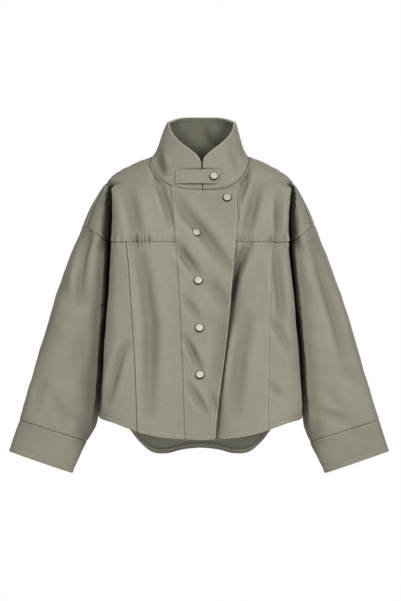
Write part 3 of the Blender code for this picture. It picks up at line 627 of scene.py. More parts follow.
def press_crease(points, sleeve):
    """The cloth between body and sleeve falls deep in below the tip of the shoulder. The body's front stays
    flat up to a crisp edge that hangs over it, and the sleeve stays full on its other side."""
    x, y, z = np.abs(points[:, 0]), points[:, 1], points[:, 2]
    wide, deep = half_width(z), np.abs(y)
    edge = np.where(points[:, 0] > 0, edge_left(z), edge_right(z))
    zone = ease(z, *CREASE_TOP) * ease(z, *CREASE_END)
    under = ease(x - wide, *UNDER_OUT) * ease(deep, *UNDER_DEEP) * ease(y, *UNDER_BACK) * zone
    if sleeve:
        under *= ease(z, *UNDER_SLEEVE)
    moved = -(wide - edge + UNDERCUT) * under
    share = ease(x + moved - edge, crease_width(z) + CREASE_WALL, crease_width(z)) * zone
    if sleeve:
        full = ease(x - edge, *FULL_IN) * ease(x - edge, *FULL_OUT) * ease(deep, *FULL_DEEP)
        full *= ease(z, *FULL_TOP) * np.where(y < 0, ease(z, *FULL_END_FRONT), ease(z, *FULL_END_BACK))
        y = y + np.sign(y) * full * np.maximum(0.0, sleeve_flat(z) - deep)
    else:
        share *= ease(x - wide, *SIDE_IN)
        corner = wide * (1 - EDGE_DEPTH**ROUND_IN) ** (1 / square_at(z))
        wider = np.minimum(edge, x * (1 + (edge / corner - 1) * ease(x / wide, *WIDEN)))
        flat = ease(-y, *FLAT_DEEP) * ease(x / wide, *FLAT_OUT) * ease(x / wide, *FLAT_IN)
        moved += (wider - x) * flat * zone
    pressed = points.copy()
    pressed[:, 0] += np.sign(points[:, 0]) * moved
    pressed[:, 1] = y - share * np.where(y < 0, y, np.maximum(0.0, y - CREASE_FLOOR))
    # The share also sets the painted shade of the crease, where the colour is darkened.
    return pressed, share


def cloth(node, patches, inside, relief_of, thickness=CLOTH, reverse=None, tone=1.0):
    """A panel of twill: the patches as one surface, raised and creased, with its thickness laid inwards."""
    points, faces, corners, (relief, pale, layers) = weld(patches)
    crease = 0.0
    if not node.startswith(("collar", "placket")):
        points, crease = press_crease(points, node.startswith(("sleeve", "cuff")))
    piece = place_mesh("twill_" + node, points, faces, corners)
    mesh = piece.data
    face_out(mesh, inside)
    normals = np.empty(len(mesh.vertices) * 3)
    mesh.vertices.foreach_get("normal", normals)
    normals = normals.reshape(-1, 3)
    relief = relief + relief_of(points, normals)
    points = points + normals * relief[:, None]
    mesh.vertices.foreach_set("co", points.ravel())
    # Painted light: darker in troughs and again in deep hollows as painted shade, paler on raised cloth as
    # painted highlight, plus the edges' painted highlight and shade and the painted shade of the crease
    # beside the sleeve; tone scales it all.
    painted_light_and_wear = 1 - RELIEF_PAINTED_SHADE * (1 - np.exp(np.minimum(0.0, relief) / RELIEF_SHADE_DEPTH))
    painted_light_and_wear += RELIEF_PAINTED_HIGHLIGHT * np.clip(relief / RELIEF_HIGHLIGHT_HEIGHT, 0, 1)
    painted_light_and_wear -= DEEP_PAINTED_SHADE * np.clip((-relief - DEEP) / DEEP, 0, 1)
    painted_light_and_wear = (painted_light_and_wear + EDGE_PALE * pale) * (1 - CREASE_PAINTED_SHADE * crease) * tone
    mesh.attributes.new("painted_light_and_wear", "FLOAT", "POINT").data.foreach_set("value", painted_light_and_wear.astype(np.float32))
    mesh.update()
    surfaces[node] = BVHTree.FromPolygons(points.tolist(), [list(p.vertices) for p in mesh.polygons])
    bpy.ops.object.select_all(action="DESELECT")
    bpy.context.view_layer.objects.active = piece
    piece.select_set(True)
    solid = piece.modifiers.new("layer", "SOLIDIFY")
    solid.thickness = thickness + CLOTH
    solid.thickness_vertex_group = thickness / (thickness + CLOTH)
    solid.vertex_group = piece.vertex_groups.new(name="turned").name
    levels = np.round(layers * 8) / 8
    for level in np.unique(levels):
        piece.vertex_groups["turned"].add(np.flatnonzero(levels == level).tolist(), level, "REPLACE")
    solid.offset = -1.0
    mesh.materials.append(twill)
    if reverse:
        mesh.materials.append(reverse)
        solid.material_offset = 1
    bpy.ops.object.modifier_apply(modifier=solid.name)
    bpy.ops.object.shade_smooth_by_angle(angle=math.radians(50))
    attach(piece, "root")
    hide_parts(node)
    return piece, topstitch(node, patches)


# Sewn and free edge of the front overlap at heights, and how far the free edge lifts.
OVERLAP = (
    (-0.060, -0.0560, 0.0680, 0.000), (-0.114, -0.0500, 0.0686, 0.000), (-0.165, -0.0456, 0.0657, 0.001),
    (-0.213, -0.0420, 0.0618, 0.005), (-0.280, -0.0375, 0.0560, 0.008), (-0.353, -0.0345, 0.0479, 0.007),
    (-0.422, -0.0317, 0.0395, 0.004), (-0.478, -0.0300, 0.0325, 0.003), (-0.540, -0.0285, 0.0270, 0.004),
)
sewn_x, free_x, flap_lift = [smooth(OVERLAP, n) for n in (1, 2, 3)]
# Creases of the front and of the overlap: half width, depth, and the points (x, z) that each runs through.
FRONT_FOLDS = (
    (0.012, 0.0095, (-0.1343, -0.0687), (-0.1173, -0.1560)),
    (0.013, 0.0110, (-0.1211, -0.1680), (-0.1060, -0.2247), (-0.0929, -0.3206), (-0.0957, -0.4823)),
    (0.008, 0.0100, (-0.0816, -0.0405), (-0.0647, -0.0875), (-0.0553, -0.1251)),
    (0.006, 0.0060, (-0.0948, -0.0085), (-0.0797, -0.0423)),
    (0.008, 0.0085, (-0.1399, -0.3525), (-0.1512, -0.3770), (-0.1681, -0.4371), (-0.1756, -0.4597)),
    (0.007, 0.0090, (0.0914, -0.0104), (0.0754, -0.0818)),
    (0.010, 0.0095, (0.1083, -0.0555), (0.1008, -0.0875), (0.0857, -0.1500)),
    (0.008, 0.0110, (0.1496, -0.0687), (0.1478, -0.1138), (0.1487, -0.1580)),
    (0.010, 0.0105, (0.1440, -0.1680), (0.1459, -0.2247), (0.1515, -0.2661), (0.1534, -0.3187)),
    (0.0085, 0.0160, (0.0914, -0.1664), (0.0805, -0.1852), (0.0645, -0.2247), (0.0560, -0.2661)),
    (0.013, 0.0085, (0.0895, -0.3055), (0.0744, -0.3770), (0.0650, -0.4785)),
    (0.008, 0.0065, (0.1346, -0.3093), (0.1684, -0.3657)),
    (0.008, 0.0055, (0.1309, -0.4297), (0.1523, -0.4541)),
)
LAP_FOLDS = (
    (0.011, 0.0110, (-0.0459, -0.0762), (-0.0233, -0.1138), (0.0011, -0.1401), (0.0331, -0.1852),
     (0.0519, -0.2078)),
    (0.009, 0.0125, (-0.0440, -0.1645), (-0.0308, -0.1890), (-0.0064, -0.2209)),
    (0.012, 0.0055, (0.0124, -0.2341), (0.0331, -0.2604), (0.0481, -0.2905)),
    (0.012, 0.0060, (0.0406, -0.3093), (0.0350, -0.3770), (0.0256, -0.4334)),
    (0.008, 0.0060, (-0.0290, -0.2700), (-0.0045, -0.3055)),
    (0.0065, 0.0090, (-0.0290, -0.3430), (-0.0158, -0.3694), (-0.0020, -0.3995)),
    (0.007, 0.0065, (-0.0233, -0.4296), (-0.0045, -0.4597), (0.0105, -0.4823)),
    (0.007, 0.0050, (0.0180, -0.4447), (0.0293, -0.4785)),
)
# Similar creases of the back, which the photo doesn't show.
BACK_FOLDS = (
    (0.012, 0.0060, (-0.120, -0.080), (-0.110, -0.190)),
    (0.012, 0.0065, (0.125, -0.090), (0.112, -0.200)),
    (0.014, 0.0050, (-0.040, -0.060), (-0.010, -0.170)),
    (0.014, 0.0060, (0.050, -0.230), (0.020, -0.340)),
    (0.013, 0.0070, (-0.090, -0.260), (-0.150, -0.380)),
    (0.013, 0.0070, (0.100, -0.330), (0.150, -0.430)),
    (0.015, 0.0055, (-0.030, -0.400), (-0.045, -0.520)),
)
# How deep the front falls away beside the free edge of the overlap, at heights.
HOLLOW = (
    (-0.160, 0.000), (-0.200, 0.007), (-0.240, 0.013), (-0.275, 0.017), (-0.310, 0.014), (-0.350, 0.007),
    (-0.400, 0.006), (-0.450, 0.010), (-0.490, 0.012), (-0.530, 0.012),
)
hollow = smooth(HOLLOW, 1)
HOLLOW_WIDTH = 0.010


def swelling(points):
    """Soft uneven swelling of the body panels."""
    return 0.0009 * ripple(points, 0.11, 3) + 0.0003 * ripple(points, 0.035, 5)


def body_relief(points, normals):
    """Creases and swelling of the body panels; under the overlap nothing rises against it."""
    x, z = points[:, 0], points[:, 2]
    front = folds(points, normals, FRONT_FOLDS, FRONT)
    covered = (x > sewn_x(z) - 0.004) & (x < free_x(z) + 0.004)
    front = np.where(covered, np.minimum(front, 0.0), front) + folds(points, normals, LAP_FOLDS, FRONT)
    beside = np.exp(-np.maximum(0.0, x - free_x(z)) / HOLLOW_WIDTH) * (x > 0) * (normals[:, 1] < 0)
    front -= hollow(z) * beside * ease(z, -0.155, -0.185)
    return front + folds(points, normals, BACK_FOLDS, BACK) + swelling(points)


def lap_relief(points, normals):
    """Creases and swelling of the overlap."""
    return folds(points, normals, LAP_FOLDS, FRONT) + swelling(points)


FRONT_TURNS = [(FRONT, CAP_TURN + (SEAM_TURN - CAP_TURN) * k / 6) for k in range(7)]
BACK_TURNS = [CAP_TURN + (-SEAM_TURN - CAP_TURN) * k / 8 for k in range(9)]
BACK_TURNS = [(BACK, turn) if turn >= 0 else (FRONT, -turn) for turn in BACK_TURNS]


def back_row(k):
    """Row k of the back from hem to neck, right half to left half."""
    halves = []
    for side in (RIGHT, LEFT):
        if k < LOWER_ROWS:
            halves.append(lower_row(side, BACK, k, lambda z: 0.0, lambda z: 1.0, 11))
        else:
            row = k - LOWER_ROWS
            end = 1.0 if row < CAP_ROWS else tip_column(BACK, CAP_TURN)
            halves.append([upper_point(side, BACK, end * n / 11, row) for n in range(12)])
    return halves[0][:0:-1] + halves[1]


def body_patches(side, edge, knots, places, turns, low_row, cap_edges):
    """Sleeve cap and shoulder beside the edge of a body panel, and the strip down into the crease.

    knots and places are the panel's rows; low_row is the row of the yoke seam.
    """
    grid = array(zip(*[cap_column(side, face, turn) for face, turn in turns]))
    grid[CAP_ROWS, 1:] = 0.5 * grid[CAP_ROWS, 1:] + 0.25 * (grid[CAP_ROWS - 1, 1:] + grid[CAP_ROWS + 1, 1:])
    upper = places >= knots[low_row] - TOUCH
    grid = refine(grid, knots[low_row:], places[upper], 0)
    aside = spans(grid, 1)
    grid = refine(grid, aside, ticks(aside[-1], STEP, False, True), 1)
    body = edge[upper]
    above = places[upper] >= knots[low_row + CAP_ROWS] - TOUCH
    grid[above, 0] = body[above]
    below = places[upper] <= knots[low_row + CAP_ROWS] + TOUCH
    return [Patch(grid, cap_edges), Patch(bridge(body[below], grid[below, 0], 3), {})]


def armhole_patch(side, face, edge, knots, places):
    """Strip from the side of a body panel to the armhole seam, from the underarm up to the yoke seam."""
    line = array([[armhole_crease(side, face, z)] for z in ARMHOLE])
    inside = (places >= knots[SKIRT_ROWS] - TOUCH) & (places <= knots[LOWER_ROWS] + TOUCH)
    line = refine(line, knots[SKIRT_ROWS:LOWER_ROWS + 1], places[inside], 0)[:, 0]
    return Patch(bridge(edge[inside], line, 3), {})


back_rows = [back_row(k) for k in range(LOWER_ROWS + len(UPPER))]
back_breaks = (SKIRT_ROWS, LOWER_ROWS, LOWER_ROWS + CAP_ROWS)
back_grid, back_knots, back_places = fine_grid(back_rows, back_breaks, STEP)
back_patches = [Patch(back_grid, {"low": HEMMED, "high": FLUSH})]
for side, edge in ((RIGHT, back_grid[:, 0]), (LEFT, back_grid[:, -1])):
    seams = {"low": FELLED, "end": SHOULDER}
    back_patches += body_patches(side, edge, back_knots, back_places, BACK_TURNS, LOWER_ROWS, seams)
    back_patches.append(armhole_patch(side, BACK, edge, back_knots, back_places))
# The wrong side of the twill inside the back, painted paler than the face as painted light, since the tail's
# inside lies in shade.
twill_inside_painted_light = twill_material("cotton_twill_wrong_side_painted_light", "b0ac9c", "a5a191", "bcb8a8")
back, back_thread = cloth("back", back_patches, BODY_AXIS, body_relief, reverse=twill_inside_painted_light)


# The yokes: upper fronts from the forward shoulder seams down to a felled chest seam, each with the front of
# a dropped sleeve cap that hangs over in a deep crease beside the body.
TURN_UNDER, UNDERLAP, NECK_MIDDLE = 0.008, -0.012, -0.062


def inner_edge(side, z):
    """Column of a front panel's edge behind the overlap, at a height."""
    if side == LEFT:
        return column_at(UNDERLAP, YOKE_Z)
    return column_at(-sewn_x(z) - TURN_UNDER, z)


def yoke_row(side, k):
    """Row k of a yoke from the chest seam to the neck, from the front edge outwards."""
    share = (UPPER[k] - YOKE_Z) / -YOKE_Z
    start = inner_edge(side, YOKE_Z + (NECK_MIDDLE - YOKE_Z) * share)
    end = 1.0 if k < CAP_ROWS else tip_column(FRONT, CAP_TURN)
    return [upper_point(side, FRONT, start + (end - start) * n / 10, k) for n in range(11)]


YOKE_SEAM = Sewn(0.0006, 0.0070, 0.0005, 0.00300, (0.0022,))
# The edges below the yoke and at the neck are painted darker down in the seam, as painted shade.
BELOW_YOKE = sunk(0.0026, 0.00160, -1.7)
NECK_EDGE = sunk(0.0028, 0.0, -1.7)
for side, word, size in ((RIGHT, "right", 0.0420), (LEFT, "left", 0.0490)):
    rows = [yoke_row(side, k) for k in range(len(UPPER))]
    grid, knots, places = fine_grid(rows, (CAP_ROWS,), FINE)
    patches = [Patch(grid, {"low": YOKE_SEAM, "high": NECK_EDGE})]
    seams = {"low": FELLED, "end": UNDER}
    patches += body_patches(side, grid[:, -1], knots, places, FRONT_TURNS, 0, seams)
    yoke, thread = cloth("yoke_" + word, patches, BODY_AXIS, body_relief)


# The fronts and side fronts: below the chest seam, joined by long seams with two rows of stitching on the
# front's side, and turned up at the hem.
PRINCESS = (
    (-0.161, 0.1345, 0.1330), (-0.322, 0.1270, 0.1300), (-0.403, 0.1220, 0.1285), (-0.530, 0.1180, 0.1265),
)
princess_x = {RIGHT: smooth(PRINCESS, 1), LEFT: smooth(PRINCESS, 2)}
LONG_SEAM = Sewn(0.0007, 0.0110, 0.0006, 0.00030, (0.0030, 0.0100))
# Each side front's long seam is painted darker down in the seam, as painted shade.
SEAM_SINK = {RIGHT: UNDER, LEFT: sunk(0.0010, 0.00030, -0.8)}


def lower_panel(side, start, end, count, **edges):
    """Fine grid of a panel below the chest seam, between two columns, with its knots and places."""
    rows = [lower_row(side, FRONT, k, start, end, count) for k in range(LOWER_ROWS + 1)]
    return fine_grid(rows, (SKIRT_ROWS,), FINE, **edges)


def seam_column(side):
    """The column of a long seam, for a height."""
    return lambda z: column_at(princess_x[side](z), z)


for side, word, front_size, side_size in ((RIGHT, "right", 0.0390, 0.0620), (LEFT, "left", 0.0570, 0.0610)):
    grid, _, _ = lower_panel(side, lambda z: inner_edge(side, z), seam_column(side), 5, last=True)
    patches = [Patch(grid, {"low": HEMMED, "high": BELOW_YOKE, "end": LONG_SEAM})]
    panel, thread = cloth("front_" + word, patches, BODY_AXIS, body_relief)

    grid, knots, places = lower_panel(side, seam_column(side), lambda z: 1.0, 6, first=True)
    patches = [Patch(grid, {"low": HEMMED, "high": BELOW_YOKE, "start": SEAM_SINK[side]})]
    patches.append(armhole_patch(side, FRONT, grid[:, -1], knots, places))
    panel, thread = cloth("side_" + word, patches, BODY_AXIS, body_relief)


# The sleeves: full and straight, set low in the armhole, hanging a little forward to the cuffs.
# Ring: share of the way down, outer and inner edge (x, z), half depth, forward, how square.
SLEEVE = (
    (0.00, 0.2217, -0.1254, 0.1785, -0.2720, 0.064, 0.000, 0.60),
    (0.22, 0.2575, -0.2200, 0.1820, -0.3350, 0.062, 0.000, 0.65),
    (0.44, 0.2875, -0.3120, 0.1882, -0.4050, 0.056, 0.002, 0.72),
    (0.66, 0.3115, -0.3960, 0.1912, -0.4680, 0.048, 0.006, 0.80),
    (0.84, 0.3300, -0.4600, 0.1985, -0.5100, 0.040, 0.010, 0.88),
    (1.00, 0.3422, -0.4997, 0.2130, -0.5404, 0.033, 0.013, 0.95),
)
sleeve_at = [smooth(SLEEVE, n) for n in range(1, 8)]
CAP_FADE, SLEEVE_RINGS, RING_CROWDING = 0.55, 16, 1.15
CREASE_TURN = math.radians(80)
ALLOWANCE, ALLOWANCE_IN = 0.007, 0.003


def armhole(side):
    """The armhole seam as a loop: points with the turn of the sleeve ring that each one feeds."""
    loop = [(armhole_cap(side, face, t), CREASE_TURN * t / CAP_TURN) for face, t in reversed(FRONT_TURNS)]
    step = (math.pi - CREASE_TURN) / ARMHOLE_ROWS
    for k in range(1, ARMHOLE_ROWS + 1):
        loop.append((armhole_crease(side, FRONT, ARMHOLE[ARMHOLE_ROWS - k]), CREASE_TURN + step * k))
    for k in range(1, ARMHOLE_ROWS + 1):
        loop.append((armhole_crease(side, BACK, ARMHOLE[k]), math.pi + step * k))
    for face, t in BACK_TURNS[1:-1]:
        signed = t if face == FRONT else -t
        loop.append((armhole_cap(side, face, t), 2 * math.pi + CREASE_TURN * signed / CAP_TURN))
    return loop


def ring_point(side, ring, turn):
    """A point of a sleeve section; turn runs from the outer edge over the front to the inner edge."""
    share, outer_x, outer_z, inner_x, inner_z, depth, forward, square = ring
    lean = max(0.0, math.cos(turn))
    x = (outer_x + inner_x) / 2 + (outer_x - inner_x) / 2 * math.cos(turn)
    z = (outer_z + inner_z) / 2 + (outer_z - inner_z) / 2 * math.cos(turn)
    x += SPREAD[side] * (lean + min(1.0, max(0.0, share - 0.7) / 0.3) * (1 - lean))
    bow = math.copysign(abs(math.sin(turn)) ** square, math.sin(turn))
    return Vector((side * x, -depth * bow - forward, z))


def tube(rows):
    """Rings of a sleeve or cuff as a fine grid that closes on itself."""
    rows = [row[-3:] + row + row[:4] for row in rows]
    grid = array(rows)
    knots = spans(grid, 0)
    grid = refine(grid, knots, places_along(knots, STEP), 0)
    aside = spans(grid, 1)
    count = round((aside[-4] - aside[3]) / STEP)
    grid = refine(grid, aside, np.linspace(aside[3], aside[-4], count + 1), 1)
    grid[:, -1] = grid[:, 0]
    return grid


def allowance(grid):
    """Seam allowance that runs on inside the armhole from a sleeve's first ring."""
    back_up = unit(grid[0] - grid[3])
    inward = unit(grid[0].mean(axis=0) - grid[0])
    return bridge(grid[0] + back_up * ALLOWANCE + inward * ALLOWANCE_IN, grid[0], 2)


# Creases of the sleeves, right then left: half width, depth and points (x, z).
SLEEVE_FOLDS = (
    (0.009, 0.0110, (-0.2113, -0.1439), (-0.2207, -0.1852), (-0.2264, -0.2247), (-0.2282, -0.2717)),
    (0.011, 0.0025, (-0.2984, -0.4155), (-0.3128, -0.4747)),
    (0.013, 0.0035, (-0.2241, -0.3197), (-0.2361, -0.3916)),
    (0.011, 0.0022, (-0.2865, -0.4390), (-0.2602, -0.5000)),
    (0.008, 0.0020, (-0.2527, -0.4900), (-0.2250, -0.5080)),
    (0.011, 0.0100, (0.2136, -0.1645), (0.2286, -0.2247), (0.2418, -0.2623), (0.2587, -0.3206),
     (0.2718, -0.3770)),
    (0.009, 0.0040, (0.2267, -0.4823), (0.2812, -0.5011)),
    (0.010, 0.0032, (0.2718, -0.4785), (0.2436, -0.4503)),
    (0.011, 0.0032, (0.2718, -0.4033), (0.3038, -0.4277)),
)
SLEEVE_BACK_FOLDS = (
    (0.011, 0.0060, (-0.2300, -0.180), (-0.2500, -0.300)),
    (0.011, 0.0060, (-0.2900, -0.380), (-0.2450, -0.430)),
    (0.011, 0.0060, (0.2300, -0.190), (0.2480, -0.320)),
    (0.011, 0.0060, (0.2950, -0.390), (0.2450, -0.440)),
)


def sleeve_relief(points, normals):
    """Creases and soft swelling of the sleeves."""
    relief = folds(points, normals, SLEEVE_FOLDS, FRONT) + folds(points, normals, SLEEVE_BACK_FOLDS, BACK)
    return relief + 0.0010 * ripple(points, 0.10, 7) + 0.0004 * ripple(points, 0.035, 9)


# The sleeve's seams into the armhole and the cuff are painted darker down in the seam, as painted shade.
SET_IN = sunk(0.0020, 0.00030, -2.2)
INTO_CUFF = sunk(0.0014, 0.00030, -1.4)
for side, word, size in ((RIGHT, "right", 0.1380), (LEFT, "left", 0.1340)):
    loop = armhole(side)
    rows = []
    for k in range(SLEEVE_RINGS + 1):
        share = (k / SLEEVE_RINGS) ** RING_CROWDING
        fade = max(0.0, 1 - share / CAP_FADE) ** 2
        ring = (share, *[value(share) for value in sleeve_at])
        row = []
        for seam, turn in loop:
            offset = seam - ring_point(side, SLEEVE[0], turn)
            row.append(ring_point(side, ring, turn) + offset * fade)
        rows.append(row)
    grid = tube(rows)
    patches = [Patch(grid, {"low": SET_IN, "high": INTO_CUFF}), Patch(allowance(grid), {})]
    sleeve, _ = cloth("sleeve_" + word, patches, Vector((side * 0.26, 0, -0.35)), sleeve_relief)


# The cuffs: straight bands of doubled twill, sewn to the sleeve with two rows and turned in at the end.
# They are a shade darker than the sleeves.
CUFF_END = (1.25, 0.3612, -0.5585, 0.2402, -0.6003, 0.029, 0.018, 0.95)
DOUBLE, CUFF_ROWS, CUFF_TONE = 0.0024, 4, 0.91
CUFF_SEAM = Sewn(0.0003, 0.0100, 0.0005, 0.00020, (0.0025, 0.0085))
CUFF_HEM = Sewn(0.0006, 0.0100, 0.0007, 0.00035, (0.0095,), True)
for side, word in ((RIGHT, "right"), (LEFT, "left")):
    rows = []
    for k in range(CUFF_ROWS + 1):
        ring = [a + (b - a) * k / CUFF_ROWS for a, b in zip(SLEEVE[-1], CUFF_END)]
        rows.append([ring_point(side, ring, turn) for _, turn in armhole(side)])
    patches = [Patch(tube(rows), {"low": CUFF_SEAM, "high": CUFF_HEM})]
    middle = Vector((side * 0.29, -0.015, -0.55))
    cuff, thread = cloth("cuff_" + word, patches, middle, sleeve_relief, DOUBLE, tone=CUFF_TONE)


# The front overlap: a wide placket sewn to the right front, lying over the left, its free edge lifting a
# little between the snaps. Two rows of stitching follow its top and free edges.
LAP_GAP, OVERLAP_TOP, LAP_CLOTH, LAP_WIDTH, LAP_LENGTH = 0.0013, -0.0655, 0.0016, 0.095, 0.467
LAP_TOP = Sewn(0.0006, 0.0105, 0.0004, 0.00030, (0.0052, 0.0100))
# The free edge is painted paler, partly rubbing and partly a painted highlight along its rolled edge.
LAP_EDGE = Sewn(0.0006, 0.0100, 0.0004, 0.00030, (0.0055, 0.0095), False, 1.6)
LAP_SEWN = Sewn(0.0006, 0.0090, 0.0010, 0.00030, (0.0040, 0.0085))


def front_at(x, z):
    """A point of the front of the body form straight behind x, z."""
    return torso(LEFT if x >= 0 else RIGHT, FRONT, column_at(abs(x), z), z)


def front_normal(x, z):
    """Outward direction of the front of the body form."""
    step = 0.002
    along = front_at(x + step, z) - front_at(x - step, z)
    up = front_at(x, z + step) - front_at(x, z - step)
    return along.cross(up).normalized()


def overlap_point(share, down):
    """A point of the overlap's outer face: from sewn edge to free edge, and from top to hem."""
    height = OVERLAP_TOP + (HEM[0][1] - OVERLAP_TOP) * down
    x = sewn_x(height) + (free_x(height) - sewn_x(height)) * share
    high = min(OVERLAP_TOP, neckline(x)) if x > 0 else neckline(x) - 0.0006
    z = high + (hem_at[FRONT](abs(x)) - high) * down
    lift = flap_lift(z) * max(0.0, (share - 0.45) / 0.55) ** 2
    return front_at(x, z) + front_normal(x, z) * (LAP_GAP + LAP_CLOTH + lift)


shares = ticks(LAP_WIDTH, STEP) / LAP_WIDTH
downs = ticks(LAP_LENGTH, STEP) / LAP_LENGTH
overlap_grid = array([[overlap_point(share, down) for share in shares] for down in downs])
overlap_edges = {"low": LAP_TOP, "high": HEMMED, "start": LAP_SEWN, "end": LAP_EDGE}
placket, thread = cloth("placket", [Patch(overlap_grid, overlap_edges)], BODY_AXIS, lap_relief)


# The collar: a tall stand of two layers with an interlining, its halves cut away in curves from the throat.
# Its top is turned over to the inside in a narrow band, which shows behind the throat.
COLLAR_EDGE = (
    (0.0000, -0.0300), (0.0002, -0.0180), (0.0006, -0.0115), (0.0036, -0.0038), (0.0090, 0.0030),
    (0.0196, 0.0120), (0.0370, 0.0255), (0.0510, 0.0390), (0.0605, 0.0550), (0.0645, 0.0670),
)
collar_edge = smooth(COLLAR_EDGE, 1)
COLLAR_HALF, COLLAR_BACK_Z, COLLAR_SHIFT, COLLAR_FRONT, COLLAR_BACK = 0.0645, 0.0768, 0.0022, 0.078, 0.056
COLLAR_FLARE, SLIT_X, SLIT, COLLAR_CLOTH = 0.0062, 0.0025, 0.0015, 0.0030
COLLAR_HEIGHT, COLLAR_STEP, COLLAR_UNDER = 0.098, 0.0014, -0.03
NECK_SINK, NECK_WIDTH = 0.0040, 0.0022
# Creases where the collar turns at the neck, the lines that the tab presses in, and creases behind.
COLLAR_FOLDS = (
    (0.008, 0.0110, (-0.0830, 0.008), (-0.0800, -0.008), (-0.0740, -0.030)),
    (0.008, 0.0030, (0.0600, 0.010), (0.0750, -0.030)),
    (0.0016, 0.0040, (-0.0465, -0.0244), (0.0385, -0.0244)),
    (0.0016, 0.0030, (-0.0465, -0.0532), (0.0320, -0.0532)),
)
COLLAR_BACK_FOLDS = (
    (0.008, 0.0050, (0.0140, 0.0580), (0.0270, 0.0370), (0.0520, 0.0200)),
    (0.009, 0.0035, (-0.0480, 0.0480), (-0.0200, 0.0250), (0.0100, 0.0120)),
)


def collar_point(base, face, up):
    """A point of the collar above a point of the neckline: up runs from the neckline to the upper edge."""
    side = LEFT if base.x >= SLIT_X else RIGHT
    from_slit = abs(base.x - SLIT_X)
    share = min(1.0, from_slit / (NECK_HALF - side * SLIT_X))
    turn = math.asin(share)
    x = COLLAR_HALF * share
    if face == FRONT:
        height = collar_edge(max(0.0, x - SLIT / 2))
        depth = -COLLAR_FRONT * math.cos(turn) ** 0.8
    else:
        height = COLLAR_BACK_Z + (COLLAR_EDGE[-1][1] - COLLAR_BACK_Z) * share**4
        depth = COLLAR_BACK * math.cos(turn)
    top = Vector((SLIT_X * (1 - share) + side * x + COLLAR_SHIFT * share, depth, height))
    if from_slit < SLIT:
        top.x = base.x
    point = base.lerp(top, up)
    inward = Vector((-point.x, -point.y, 0)).normalized()
    side_share = share if face == FRONT else 1.0
    rise = max(0.0, up)
    return point + inward * COLLAR_FLARE * side_share**2 * math.sin(math.pi * rise**0.7) * (1 - rise) ** 1.2


def neck_point(side, face, a):
    """A point of the neckline."""
    return torso(side, face, a, neck_height(face, a), False)


def neck_ring():
    """The neckline from the slit round the back to the slit again, evenly spaced, with faces."""
    starts = {RIGHT: (SLIT / 2 - SLIT_X) / NECK_HALF / 2, LEFT: column_at(SLIT_X + SLIT / 2, 0.0)}
    dense = []
    shares = np.linspace(0, 1, 160)
    dense += [(neck_point(RIGHT, FRONT, starts[RIGHT] + (1 - starts[RIGHT]) * s), FRONT) for s in shares]
    dense += [(neck_point(RIGHT, BACK, 1 - s), BACK) for s in shares[1:]]
    dense += [(neck_point(LEFT, BACK, s), BACK) for s in shares[1:]]
    dense += [(neck_point(LEFT, FRONT, 1 - (1 - starts[LEFT]) * s), FRONT) for s in shares[1:]]
    path = np.array([tuple(p) for p, _ in dense])
    length = lengths(path)
    wanted = ticks(length[-1], STEP)
    picked = np.stack([np.interp(wanted, length, path[:, n]) for n in range(3)], 1)
    faces = [dense[min(len(dense) - 1, int(np.searchsorted(length, w)))][1] for w in wanted]
    return [(Vector(p), face) for p, face in zip(picked.tolist(), faces)]


def collar_relief(points, normals):
    """Soft swelling of the stiffened collar, and creases where it turns at the neck."""
    above = points[:, 2] - np.where(points[:, 1] < 0, neckline(points[:, 0]), 0.0)
    seam = NECK_SINK * np.exp(-((above / NECK_WIDTH) ** 2))
    relief = folds(points, normals, COLLAR_FOLDS, FRONT) + folds(points, normals, COLLAR_BACK_FOLDS, BACK)
    return relief + 0.0009 * ripple(points, 0.06, 11) - seam


ring = neck_ring()
ups = np.concatenate([[COLLAR_UNDER], ticks(COLLAR_HEIGHT, COLLAR_STEP) / COLLAR_HEIGHT])
collar_grid = array([[collar_point(base, face, up) for base, face in ring] for up in ups])
# The collar's edges are painted paler, partly rubbing and partly a painted highlight on their rolled edges.
COLLAR_TOP = Sewn(0.0003, 0.0075, 0.0003, 0.00015, (), True, 2.8)
collar_edges = {"low": FLUSH, "high": COLLAR_TOP, "start": COLLAR_TOP, "end": COLLAR_TOP}
collar_patches = [Patch(collar_grid, collar_edges)]
# The collar's inside: the same twill, painted darker as the shade that falls inside the collar.
twill_collar_inside_shade = twill_material("cotton_twill_collar_inside_painted_shade", "6a675a", "605d52", "737063")
collar_middle = Vector((0, 0, 0.02))
collar, _ = cloth("collar", collar_patches, collar_middle, collar_relief, COLLAR_CLOTH, twill_collar_inside_shade)


# The collar tab: a short doubled strap of twill, sewn to the right half of the collar and snapped across
# the throat. One row of stitching runs round its edge.
TAB_LEFT, TAB_RIGHT, TAB_SLANT, TAB_LOW, TAB_HIGH = -0.0470, 0.0385, 0.0065, -0.0520, -0.0255
TAB_LENGTH, TAB_STEP = 0.0855, 0.002
# The tab's edges are painted paler, partly rubbing and partly a painted highlight on their rolled edges.
TAB_EDGE = Sewn(0.0003, 0.0030, 0.0006, 0.00008, (0.0035,), False, 1.6)


def tab_relief(points, normals):
    """Slight swelling of the tab."""
    return 0.0003 * ripple(points, 0.03, 13)


